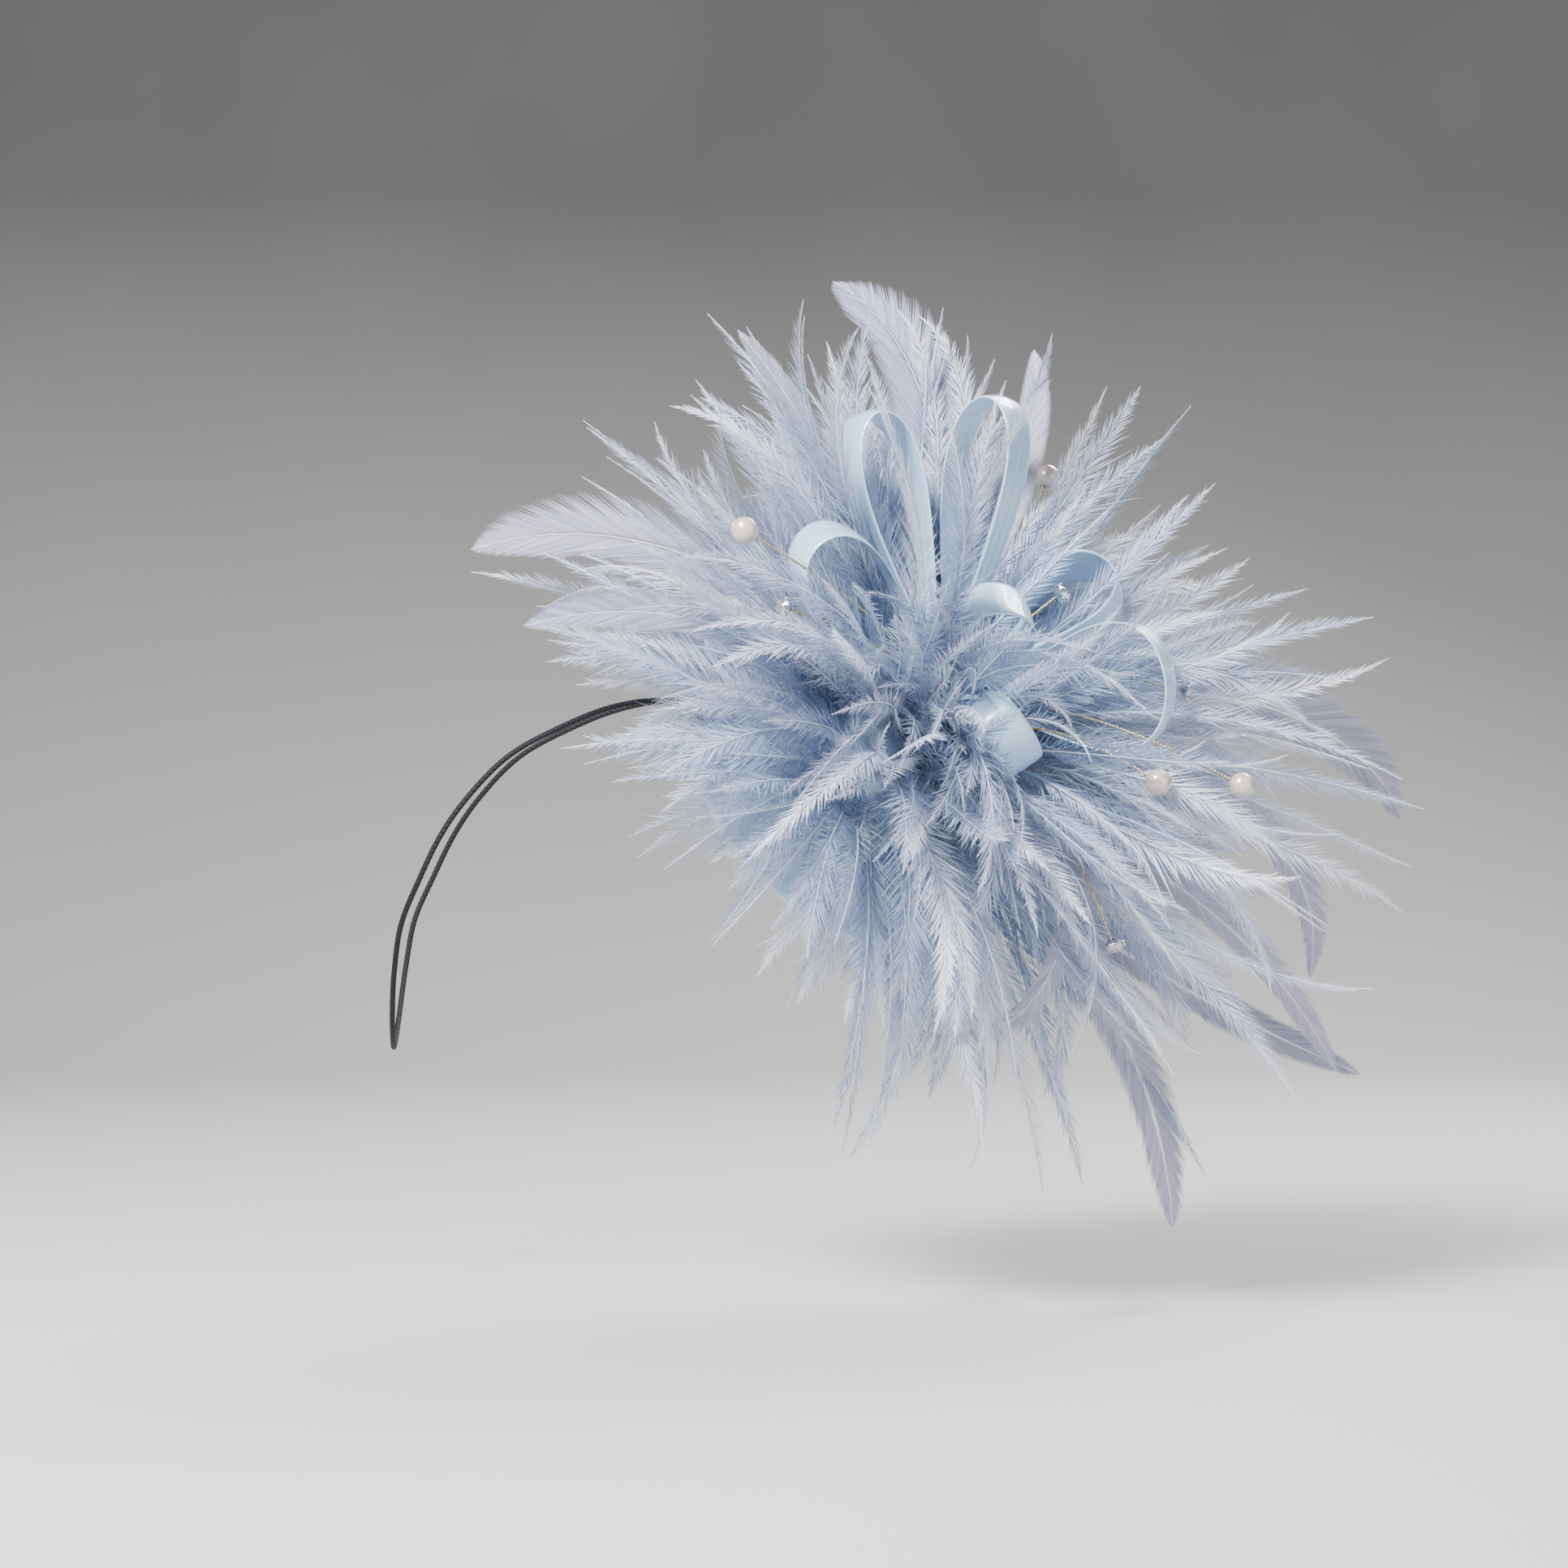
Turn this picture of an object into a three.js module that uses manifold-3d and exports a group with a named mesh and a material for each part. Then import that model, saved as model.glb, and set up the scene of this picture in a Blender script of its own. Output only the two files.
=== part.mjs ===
// Feather fascinator: a domed base with a bound stem core, eight bunches of feathers fanned
// round it, satin ribbon loops, pearls and set crystals on wire stems, and an elastic loop.
// Millimetres. +Z is up, +X is the wearer's front, -Y is the side the bloom leans to.
// The origin is the middle of the base's underside, where it sits on the wearer.
import * as THREE from "three";
import { mergeVertices } from "three/addons/utils/BufferGeometryUtils.js";
import Module from "manifold-3d";

const wasm = await Module();
wasm.setup();

// Driving dimensions
const fitGap = 0.3;
const browAngle = 45;
const sideLean = 31.6;
const baseRadius = 45;
const baseWall = 2;
const baseCurve = 85;
const coreRadius = 12;
const coreHeight = 48;
const bunchHeadWall = 11;
const bunchHeadDrop = 2;
const bunchCount = 8;
const hackleLength = 120;
const hackleWidth = 17;
const gooseLength = 150;
const gooseWidth = 21;
const plumeThickness = 2.2;
const quillThickness = 1.6;
const ribbonWidth = 15;
const ribbonWall = 1;
const ribbonGather = 5;
const ribbonOpening = 1.4;
const ribbonLength = 80;
const ribbonFullness = 22;
const ribbonKnotRadius = 2.6;
const ribbonKnotHeight = 5;
const stemRadius = 0.5;
const stemRise = 24;
const stemSteps = 7;
const stemSides = 5;
const pearlRadius = 4;
const crystalRadius = 3;
const crystalTable = 1.7;
const crownHeight = 1.3;
const pavilionDepth = 2;
const settingWall = 0.4;
const prongWidth = 0.8;
const elasticRadius = 0.875;
const elasticKnotRadius = 2.4;
const eyeletReach = 40;
const eyeletClearance = 0.6;

// Heights that follow from the sizes above, along the axis of the bloom
const coreFoot = baseWall + fitGap;
const coreTop = coreFoot + coreHeight;
const bunchTop = coreTop - bunchHeadDrop;
const bunchInner = coreRadius + fitGap;
const bunchOuter = bunchInner + bunchHeadWall;

// The bunches, round the axis from the crown. Reach is a share of the hackle length, lift is
// added to each tier's angles in degrees, and crest says how many feathers the top tier has.
const bunches = [
  { name: "bunch_crown", reach: 0.98, lift: -4, crest: 0 },
  { name: "bunch_crown_side", reach: 0.86, lift: 2, crest: 0 },
  { name: "bunch_side", reach: 0.76, lift: 14, crest: 2 },
  { name: "bunch_temple", reach: 1.02, lift: -4, crest: 2 },
  { name: "bunch_brow", reach: 1.14, lift: -2, crest: 2 },
  { name: "bunch_front", reach: 1.14, lift: 8, crest: 2 },
  { name: "bunch_far_side", reach: 0.98, lift: 16, crest: 2 },
  { name: "bunch_crown_far", reach: 1.0, lift: 8, crest: 2 },
];

// The tiers of a bunch. Seat is a share of the bunch head's height, rise and fall are the
// angles above the base plane at the quill and at the tip, and width is a share.
const tiers = [
  { seat: 0.14, rise: 14, fall: -24, reach: 1.0, width: 1.0, count: 4 },
  { seat: 0.4, rise: 32, fall: -4, reach: 1.03, width: 1.1, count: 3 },
  { seat: 0.66, rise: 48, fall: 16, reach: 0.98, width: 0.95, count: 3 },
];
const crest = { seat: 0.88, rise: 66, fall: 26, reach: 0.62, width: 0.8 };

// The goose feathers that stand out of the hackles. Length and width are shares of theirs.
const gooseFeathers = [
  { azimuth: 4, seat: 0.8, rise: 48, fall: 8, length: 0.8, width: 0.45, roll: -45 },
  { azimuth: 18, seat: 0.55, rise: 34, fall: -62, length: 0.95, width: 0.95, roll: -50 },
  { azimuth: 32, seat: 0.5, rise: 32, fall: -56, length: 0.79, width: 0.6, roll: -45 },
  { azimuth: 150, seat: 0.8, rise: 44, fall: -10, length: 0.52, width: 0.9, roll: 40 },
  { azimuth: 154, seat: 0.9, rise: 84, fall: -110, length: 0.98, width: 0.4, roll: 45 },
  { azimuth: 172, seat: 0.35, rise: 20, fall: -44, length: 1.08, width: 0.7, roll: 55 },
  { azimuth: 191, seat: 0.45, rise: 36, fall: -26, length: 1.1, width: 0.5, roll: 60 },
  { azimuth: 194, seat: 0.3, rise: -4, fall: 18, length: 1.12, width: 0.6, roll: 60 },
  { azimuth: 207, seat: 0.6, rise: 60, fall: -58, length: 1.18, width: 0.6, roll: 60 },
  { azimuth: 220, seat: 0.75, rise: 64, fall: -34, length: 1.2, width: 1.0, roll: 50 },
  { azimuth: 303, seat: 0.9, rise: 88, fall: 14, length: 0.8, width: 0.5, roll: -25 },
  { azimuth: 325, seat: 0.85, rise: 88, fall: -6, length: 1.0, width: 1.2, roll: -40 },
];

// The ribbon loops. Root is the place of the knot round the core's top, azimuth and lift give
// the way that the loop leans, turn rolls its width, and length and fullness are shares.
const ribbonRoot = 0.62;
const ribbonLoops = [
  { root: 350, azimuth: 352, lift: 30, turn: 60, length: 1.0, fullness: 0.7 },
  { root: 300, azimuth: 330, lift: 49, turn: 10, length: 1.05, fullness: 0.7 },
  { root: 40, azimuth: 26, lift: 18, turn: 30, length: 0.8, fullness: 0.8 },
  { root: 96, azimuth: 0, lift: 80, turn: 40, length: 0.5, fullness: 0.8 },
  { root: 193, azimuth: 193, lift: 52, turn: -30, length: 0.78, fullness: 1.3 },
  { root: 138, azimuth: 124, lift: 30, turn: 60, length: 0.5, fullness: 0.8 },
  { root: 245, azimuth: 262, lift: 40, turn: 60, length: 0.75, fullness: 0.9 },
];

// The jewels. Root is the azimuth where the stem stands on the bunch heads, unless its foot is
// on the core. Reach, azimuth and height give the jewel's place, in hackle lengths.
const stemRootReach = 18;
const pearls = [
  { root: 72, reach: 0.79, azimuth: 38, height: 0.63 },
  { root: 163, reach: 0.53, azimuth: 172, height: 0.72 },
  { root: 212, reach: 0.7, azimuth: 191, height: 0.77 },
  { root: 286, reach: 0.6, azimuth: 290, height: 0.78 },
];
const crystals = [
  { root: 92, reach: 0.63, azimuth: 47, height: 0.54 },
  { foot: "core", root: 262, reach: 0.2, azimuth: 262, height: 0.76 },
  { root: 232, reach: 0.51, azimuth: 213, height: 0.78 },
  { root: 152, reach: 0.82, azimuth: 152, height: 0.48 },
];

// The elastic's route, point by point from the near eyelet round the back to the far one
const elasticRoute = [
  [-32.8, 6.7, 25.0], [-33.2, 7.6, 23.2], [-34.3, 9.1, 20.8], [-35.9, 10.2, 20.0],
  [-37.8, 11.0, 20.3], [-41.2, 12.0, 22.1], [-45.2, 12.6, 25.7], [-54.0, 13.6, 29.5],
  [-69.5, 11.2, 28.0], [-86.5, 9.2, 21.5], [-103.0, 8.4, 12.3], [-116.0, 6.6, -1.0],
  [-123.8, 5.8, -12.3], [-130.5, 6.6, -26.0], [-136.3, 10.0, -39.8], [-138.8, 14.0, -54.5],
  [-140.0, 20.8, -67.3], [-140.6, 29.5, -76.6], [-140.8, 35.0, -79.4], [-140.6, 40.5, -76.6],
  [-140.0, 49.2, -67.3], [-138.8, 56.0, -54.5], [-136.3, 60.0, -39.8], [-130.5, 63.4, -26.0],
  [-123.8, 64.2, -12.3], [-116.0, 63.4, -1.0], [-103.0, 61.6, 12.3], [-86.5, 60.8, 21.5],
  [-69.5, 58.8, 28.0], [-50.0, 55.6, 31.2], [-33.0, 51.4, 31.6], [-21.1, 45.4, 29.3],
  [-18.4, 38.6, 22.4], [-16.8, 35.4, 20.6], [-15.7, 33.7, 20.3], [-14.4, 32.2, 21.1],
  [-12.9, 31.3, 23.5], [-11.9, 31.0, 25.3],
];
const eyeletAzimuths = [-4, -50];
const elasticSteps = 76;
const elasticSides = 8;

const materials = {
  base: new THREE.MeshStandardMaterial({ color: 0xa9c6e0, roughness: 0.9, metalness: 0 }),
  feather: new THREE.MeshStandardMaterial({ color: 0xbdd3e8, roughness: 0.85, metalness: 0 }),
  ribbon: new THREE.MeshStandardMaterial({ color: 0xa8cdee, roughness: 0.35, metalness: 0 }),
  pearl: new THREE.MeshStandardMaterial({ color: 0xefe3da, roughness: 0.25, metalness: 0 }),
  crystal: new THREE.MeshStandardMaterial({ color: 0xd9dde2, roughness: 0.1, metalness: 0.4 }),
  wire: new THREE.MeshStandardMaterial({ color: 0xc9a560, roughness: 0.3, metalness: 1 }),
  elastic: new THREE.MeshStandardMaterial({ color: 0x101014, roughness: 0.7, metalness: 0 }),
};

const radians = THREE.MathUtils.degToRad;
const axis = new THREE.Vector3(0, 0, 1);

// An even scatter from 0 to 1 with no repeat, for the n-th item and one of three uses
const scatterSteps = [0.8191725134, 0.6710436067, 0.5497004779];
function scatter(n, use) {
  const x = (n + 1) * scatterSteps[use];
  return x - Math.floor(x);
}

// A point from its distance to the bloom's axis, its azimuth in degrees and its height
function place(reach, azimuth, height) {
  const turn = radians(azimuth);
  return new THREE.Vector3(reach * Math.cos(turn), reach * Math.sin(turn), height);
}

// The direction at an azimuth and a lift above the base plane, both in degrees
function heading(azimuth, lift) {
  return place(Math.cos(radians(lift)), azimuth, Math.sin(radians(lift)));
}

function solidOf(geometry) {
  const bare = geometry.clone();
  bare.deleteAttribute("normal");
  bare.deleteAttribute("uv");
  const merged = mergeVertices(bare, 1e-4);
  return new wasm.Manifold(new wasm.Mesh({
    numProp: 3,
    vertProperties: new Float32Array(merged.attributes.position.array),
    triVerts: new Uint32Array(merged.index.array),
  }));
}

function geometryOf(solid) {
  const mesh = solid.getMesh();
  const geometry = new THREE.BufferGeometry();
  geometry.setAttribute("position", new THREE.BufferAttribute(mesh.vertProperties, 3));
  geometry.setIndex(new THREE.BufferAttribute(mesh.triVerts, 1));
  geometry.computeVertexNormals();
  return geometry;
}

function joined(solids) {
  return solids.reduce((sum, solid) => sum.add(solid));
}

// A closed skin over rings of points that all have the same number of corners
function loft(rings, tip = null) {
  const points = rings.flat();
  const sides = rings[0].length;
  const faces = [];
  for (let ring = 0; ring + 1 < rings.length; ring += 1) {
    for (let side = 0; side < sides; side += 1) {
      const next = (side + 1) % sides;
      const low = ring * sides;
      const high = low + sides;
      faces.push(low + side, low + next, high + next, low + side, high + next, high + side);
    }
  }
  for (let side = 1; side + 1 < sides; side += 1) {
    faces.push(0, side + 1, side);
  }
  const last = (rings.length - 1) * sides;
  if (tip) {
    points.push(tip);
    for (let side = 0; side < sides; side += 1) {
      faces.push(last + side, last + ((side + 1) % sides), points.length - 1);
    }
  } else {
    for (let side = 1; side + 1 < sides; side += 1) {
      faces.push(last, last + side, last + side + 1);
    }
  }
  const geometry = new THREE.BufferGeometry().setFromPoints(points);
  geometry.setIndex(faces);
  return geometry;
}

// The quill of a feather: an arc in the plane of its azimuth, from rise at the head to fall
// at the tip. Gives the point and the direction at a share of its length.
function quill(azimuth, foot, rise, fall, length) {
  const start = radians(rise);
  const bend = radians(fall - rise);
  return (share) => {
    const angle = start + bend * share;
    const out = (Math.sin(angle) - Math.sin(start)) / bend;
    const up = (Math.cos(start) - Math.cos(angle)) / bend;
    const reach = bunchInner + bunchHeadWall / 3 + length * out;
    return {
      point: place(reach, azimuth, foot + length * up),
      along: heading(azimuth, rise + (fall - rise) * share),
    };
  };
}

// Where the vane is measured along the quill, and how wide it is there as a share
const hackleVane = [
  { share: 0, width: 0.15 }, { share: 0.4, width: 1 }, { share: 0.76, width: 0.8 },
];
const gooseVane = [
  { share: 0, width: 0.12 }, { share: 0.28, width: 0.4 }, { share: 0.52, width: 0.95 },
  { share: 0.74, width: 1 }, { share: 0.92, width: 0.7 },
];

// A feather as a flat leaf with a thicker middle, one corner at each edge and face
function feather(row, vane) {
  const path = quill(row.azimuth, row.foot, row.rise, row.fall, row.length);
  const level = place(1, row.azimuth + 90, 0);
  const rings = vane.map(({ share, width }) => {
    const { point, along } = path(share);
    const edge = level.clone().applyAxisAngle(along, radians(row.roll));
    const face = along.clone().cross(edge);
    const half = (row.width * width) / 2;
    const thick = Math.max(quillThickness, plumeThickness * width) / 2;
    return [
      point.clone().addScaledVector(edge, half),
      point.clone().addScaledVector(face, thick),
      point.clone().addScaledVector(edge, -half),
      point.clone().addScaledVector(face, -thick),
    ];
  });
  return solidOf(loft(rings, path(1).point));
}

// One bunch's feathers as rows of numbers, tier by tier, spread over its share of the round
function hackleRows(bunch, index) {
  const span = 360 / bunchCount;
  const middle = index * span;
  const height = bunchTop - coreFoot;
  const rows = [];
  const levels = [...tiers, { ...crest, count: bunch.crest }];
  levels.forEach((tier, level) => {
    for (let i = 0; i < tier.count; i += 1) {
      const n = index * 14 + level * 4 + i;
      const step = span / tier.count;
      const offset = (i + 0.5 + 0.5 * (scatter(n, 0) - 0.5)) * step - span / 2;
      rows.push({
        azimuth: middle + offset,
        foot: coreFoot + tier.seat * height,
        rise: tier.rise + bunch.lift + 10 * (scatter(n, 1) - 0.5),
        fall: tier.fall + bunch.lift + 22 * (scatter(n, 2) - 0.5),
        length: hackleLength * bunch.reach * tier.reach * (0.9 + 0.2 * scatter(n, 1)),
        width: hackleWidth * tier.width * (0.85 + 0.3 * scatter(n, 2)),
        roll: 70 * (scatter(n, 0) - 0.5),
      });
    }
  });
  return rows;
}

// Shifts of a feather's azimuth and lift that are tried in turn until it passes the trims
const waysRound = [
  { turn: 0, lift: 0 }, { turn: 0, lift: -7 }, { turn: 6, lift: 0 }, { turn: -6, lift: 0 },
  { turn: 0, lift: -14 }, { turn: 8, lift: -8 }, { turn: -8, lift: -8 }, { turn: 0, lift: -24 },
  { turn: 10, lift: -18 }, { turn: -10, lift: -18 }, { turn: 0, lift: -34 },
];

function clearFeather(row, vane, trims) {
  for (const way of waysRound) {
    const moved = {
      ...row,
      azimuth: row.azimuth + way.turn,
      rise: row.rise + way.lift,
      fall: row.fall + way.lift,
    };
    const solid = feather(moved, vane);
    if (solid.intersect(trims).isEmpty()) {
      return solid;
    }
  }
  return null;
}

// The wedge of space that belongs to one bunch, with half the gap left on each side
function wedge(index) {
  const half = radians(180 / bunchCount);
  const far = 2 * (hackleLength + gooseLength);
  const apex = fitGap / 2 / Math.sin(half);
  const shape = new THREE.Shape([
    new THREE.Vector2(apex, 0),
    new THREE.Vector2(apex + far, -far * Math.tan(half)),
    new THREE.Vector2(apex + far, far * Math.tan(half)),
  ]);
  const block = new THREE.ExtrudeGeometry(shape, { depth: 2 * far, bevelEnabled: false });
  block.translate(0, 0, -far);
  block.rotateZ(2 * half * index);
  return solidOf(block);
}

// The head of a bunch: the bound quills, a slice of a ring round the core
function bunchHead(index) {
  const half = radians(180 / bunchCount);
  const shape = new THREE.Shape();
  shape.absarc(0, 0, bunchOuter, -half, half, false);
  shape.absarc(0, 0, bunchInner, half, -half, true);
  const block = new THREE.ExtrudeGeometry(shape, {
    depth: bunchTop - coreFoot,
    bevelEnabled: false,
    curveSegments: 4,
  });
  block.translate(0, 0, coreFoot);
  block.rotateZ(2 * half * index);
  return solidOf(block);
}

function largest(solid) {
  return solid.decompose().reduce((best, part) => (part.volume() > best.volume() ? part : best));
}

function bunch(row, index, trims) {
  const span = 360 / bunchCount;
  const hackles = hackleRows(row, index).map((each) => clearFeather(each, hackleVane, trims));
  const geese = gooseFeathers
    .filter(({ azimuth }) => Math.round(azimuth / span) % bunchCount === index)
    .map((each) => clearFeather({
      ...each,
      foot: coreFoot + each.seat * (bunchTop - coreFoot),
      length: gooseLength * each.length,
      width: gooseWidth * each.width,
    }, gooseVane, trims));
  const feathers = [...hackles, ...geese].filter((solid) => solid);
  const whole = joined([bunchHead(index), ...feathers]);
  return largest(whole.subtract(trims).intersect(wedge(index)));
}

// The domed base with an eyelet for each end of the elastic
function base() {
  const outerCurve = baseCurve + baseWall;
  const edgeAngle = Math.asin(baseRadius / baseCurve);
  const rings = 3;
  const profile = [];
  for (let i = 0; i <= rings; i += 1) {
    const angle = (edgeAngle * i) / rings;
    profile.push(new THREE.Vector2(baseCurve * Math.sin(angle), baseCurve * (Math.cos(angle) - 1)));
  }
  for (let i = rings; i >= 0; i -= 1) {
    const angle = (edgeAngle * i) / rings;
    profile.push(new THREE.Vector2(outerCurve * Math.sin(angle), outerCurve * Math.cos(angle) - baseCurve));
  }
  const dome = new THREE.LatheGeometry(profile, 28);
  dome.rotateX(Math.PI / 2);
  let solid = solidOf(dome);
  for (const azimuth of eyeletAzimuths) {
    const hole = new THREE.CylinderGeometry(
      elasticRadius + eyeletClearance, elasticRadius + eyeletClearance, 3 * baseWall, 8);
    hole.rotateX(Math.PI / 2);
    hole.translate(0, 0, baseWall / 2);
    solid = solid.subtract(solidOf(onBase(hole, azimuth)));
  }
  return geometryOf(solid);
}

// Moves a shape from the middle of the base's underside to an eyelet
function onBase(geometry, azimuth) {
  const tilt = Math.asin(eyeletReach / baseCurve);
  geometry.translate(0, 0, baseCurve);
  geometry.rotateY(tilt);
  geometry.translate(0, 0, -baseCurve);
  geometry.rotateZ(radians(azimuth));
  return geometry;
}

function elasticKnot(azimuth) {
  const knot = new THREE.SphereGeometry(elasticKnotRadius, 10, 6);
  knot.rotateX(Math.PI / 2);
  knot.translate(0, 0, baseWall + fitGap + elasticKnotRadius);
  return onBase(knot, azimuth);
}

function core() {
  const geometry = new THREE.CylinderGeometry(coreRadius, coreRadius, coreHeight, 20);
  geometry.rotateX(Math.PI / 2);
  geometry.translate(0, 0, coreFoot + coreHeight / 2);
  return geometry;
}

// A ribbon loop: a flat band round a teardrop, gathered at both ends into a bound knot.
// Spare is added to its width and wall, for the room that feathers leave round it.
function ribbonLoop(row, spare = 0) {
  const foot = place(ribbonRoot * coreRadius, row.root, coreTop + fitGap);
  const out = heading(row.azimuth, row.lift);
  const across = place(1, row.azimuth + 90, 0).applyAxisAngle(out, radians(row.turn));
  const bulge = out.clone().cross(across);
  const start = foot.clone().addScaledVector(axis, ribbonKnotHeight * 0.7);
  const segments = 14;
  const rings = [];
  for (let i = 0; i <= segments; i += 1) {
    const angle = (2 * Math.PI * i) / segments;
    const far = (ribbonLength * row.length * (1 - Math.cos(angle))) / 2;
    const side = (ribbonFullness * row.fullness * Math.sin(angle) * (1 - Math.cos(angle))) / 2
      + ribbonWall * 0.9 * Math.cos(angle / 2);
    const farSlope = ribbonLength * row.length * Math.sin(angle) / 2;
    const sideSlope = (ribbonFullness * row.fullness
      * (Math.cos(angle) - Math.cos(2 * angle))) / 2 - ribbonWall * 0.45 * Math.sin(angle / 2);
    const middle = start.clone().addScaledVector(out, far).addScaledVector(bulge, side);
    const along = out.clone().multiplyScalar(farSlope).addScaledVector(bulge, sideSlope);
    if (i === 0 || i === segments) {
      along.copy(out).multiplyScalar(i ? -1 : 1);
    }
    const face = along.normalize().cross(across);
    const open = Math.sin(angle / 2) ** ribbonOpening;
    const half = (ribbonGather + (ribbonWidth - ribbonGather) * open) / 2 + spare;
    const wall = ribbonWall / 2 + spare;
    rings.push([[1, 1], [-1, 1], [-1, -1], [1, -1]].map(([w, t]) => middle.clone()
      .addScaledVector(across, w * half)
      .addScaledVector(face, t * wall)));
  }
  const band = solidOf(loft(rings));
  const knot = new THREE.CylinderGeometry(
    ribbonKnotRadius + spare, ribbonKnotRadius + spare, ribbonKnotHeight, 8);
  knot.rotateX(Math.PI / 2);
  knot.translate(foot.x, foot.y, foot.z + ribbonKnotHeight / 2);
  return band.add(solidOf(knot));
}

// A jewel's place and the curve of the stem that carries it
function stemCurve(row, back) {
  const foot = row.foot === "core"
    ? new THREE.Vector3(0, 0, coreTop + fitGap)
    : place(stemRootReach, row.root, bunchTop + fitGap);
  const head = place(hackleLength * row.reach, row.azimuth, hackleLength * row.height);
  const knee = foot.clone().addScaledVector(axis, stemRise);
  const toward = head.clone().sub(knee).normalize();
  const end = head.clone().addScaledVector(toward, -(back + fitGap));
  return { head, toward, curve: new THREE.QuadraticBezierCurve3(foot, knee, end) };
}

function tube(curve, radius, steps, sides) {
  const circle = new THREE.Shape();
  for (let i = 0; i < sides; i += 1) {
    const angle = (2 * Math.PI * i) / sides;
    const x = radius * Math.cos(angle);
    const y = radius * Math.sin(angle);
    if (i) {
      circle.lineTo(x, y);
    } else {
      circle.moveTo(x, y);
    }
  }
  return new THREE.ExtrudeGeometry(circle, { steps, bevelEnabled: false, extrudePath: curve });
}

function pearl(radius) {
  const geometry = new THREE.SphereGeometry(radius, 12, 8);
  geometry.rotateX(Math.PI / 2);
  return geometry;
}

// A cut stone with a table and eight crown facets, fused in a cup setting with four prongs
function crystal() {
  const cupRadius = crystalRadius + settingWall;
  const stone = new THREE.LatheGeometry([
    new THREE.Vector2(0, -pavilionDepth), new THREE.Vector2(crystalRadius / 2, -pavilionDepth),
    new THREE.Vector2(cupRadius, 0), new THREE.Vector2(crystalRadius, settingWall),
    new THREE.Vector2(crystalTable, crownHeight), new THREE.Vector2(0, crownHeight),
  ], 8);
  const prong = new THREE.BoxGeometry(prongWidth, pavilionDepth, prongWidth);
  prong.translate(crystalRadius + settingWall / 2, 0, 0);
  const prongs = [0, 1, 2, 3].map((i) => solidOf(prong.clone().rotateY((i * Math.PI) / 2)));
  const whole = geometryOf(joined([solidOf(stone), ...prongs]));
  whole.rotateX(Math.PI / 2);
  return whole;
}

// The bloom stands on the base's axis, and its own X points to the wearer's crown
const bloom = new THREE.Group();
const brow = radians(browAngle);
const lean = radians(sideLean);
const outward = new THREE.Vector3(
  Math.cos(lean) * Math.cos(brow), -Math.sin(lean), Math.cos(lean) * Math.sin(brow));
const crownward = new THREE.Vector3(-Math.sin(brow), 0, Math.cos(brow));
bloom.quaternion.setFromRotationMatrix(
  new THREE.Matrix4().makeBasis(crownward, outward.clone().cross(crownward), outward));

function addPiece(parent, name, geometry, material) {
  const mesh = new THREE.Mesh(geometry, material);
  mesh.name = name;
  parent.add(mesh);
  return mesh;
}

addPiece(bloom, "base", base(), materials.base);
addPiece(bloom, "stem_core", core(), materials.feather);

const room = 2 * fitGap;
const keepClear = [];
ribbonLoops.forEach((row, i) => {
  addPiece(bloom, `ribbon_loop_${i + 1}`, geometryOf(ribbonLoop(row)), materials.ribbon);
  keepClear.push(ribbonLoop(row, room));
});

function addJewels(rows, kind, geometry, radius, back, material) {
  rows.forEach((row, i) => {
    const { head, toward, curve } = stemCurve(row, back);
    const jewel = addPiece(bloom, `${kind}_${i + 1}`, geometry, material);
    jewel.position.copy(head);
    jewel.quaternion.setFromUnitVectors(axis, toward);
    addPiece(bloom, `${kind}_stem_${i + 1}`, tube(curve, stemRadius, stemSteps, stemSides), materials.wire);
    const wide = pearl(radius + settingWall + room);
    wide.translate(head.x, head.y, head.z);
    keepClear.push(solidOf(wide), solidOf(tube(curve, stemRadius + room, stemSteps, stemSides)));
  });
}

addJewels(pearls, "pearl", pearl(pearlRadius), pearlRadius, pearlRadius, materials.pearl);
addJewels(crystals, "crystal", crystal(), crystalRadius, pavilionDepth, materials.crystal);

const trims = joined(keepClear);
bunches.forEach((row, index) => {
  addPiece(bloom, row.name, geometryOf(bunch(row, index, trims)), materials.feather);
});

eyeletAzimuths.forEach((azimuth, i) => {
  addPiece(bloom, `elastic_knot_${i + 1}`, elasticKnot(azimuth), materials.elastic);
});

const fascinator = new THREE.Group();
fascinator.add(bloom);
const elasticCurve = new THREE.CatmullRomCurve3(
  elasticRoute.map((point) => new THREE.Vector3(...point)), false, "centripetal");
addPiece(fascinator, "elastic_loop", tube(elasticCurve, elasticRadius, elasticSteps, elasticSides),
  materials.elastic);

export default fascinator;
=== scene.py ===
"""Dresses the feather fascinator: barbed feathers, satin ribbon, pearls, cut stones on twisted
wire, a cloth base and a braided elastic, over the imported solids. Metres, +Z up."""

import math
import random

import bmesh
import bpy
from mathutils import Matrix, Quaternion, Vector
from mathutils.bvhtree import BVHTree


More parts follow.
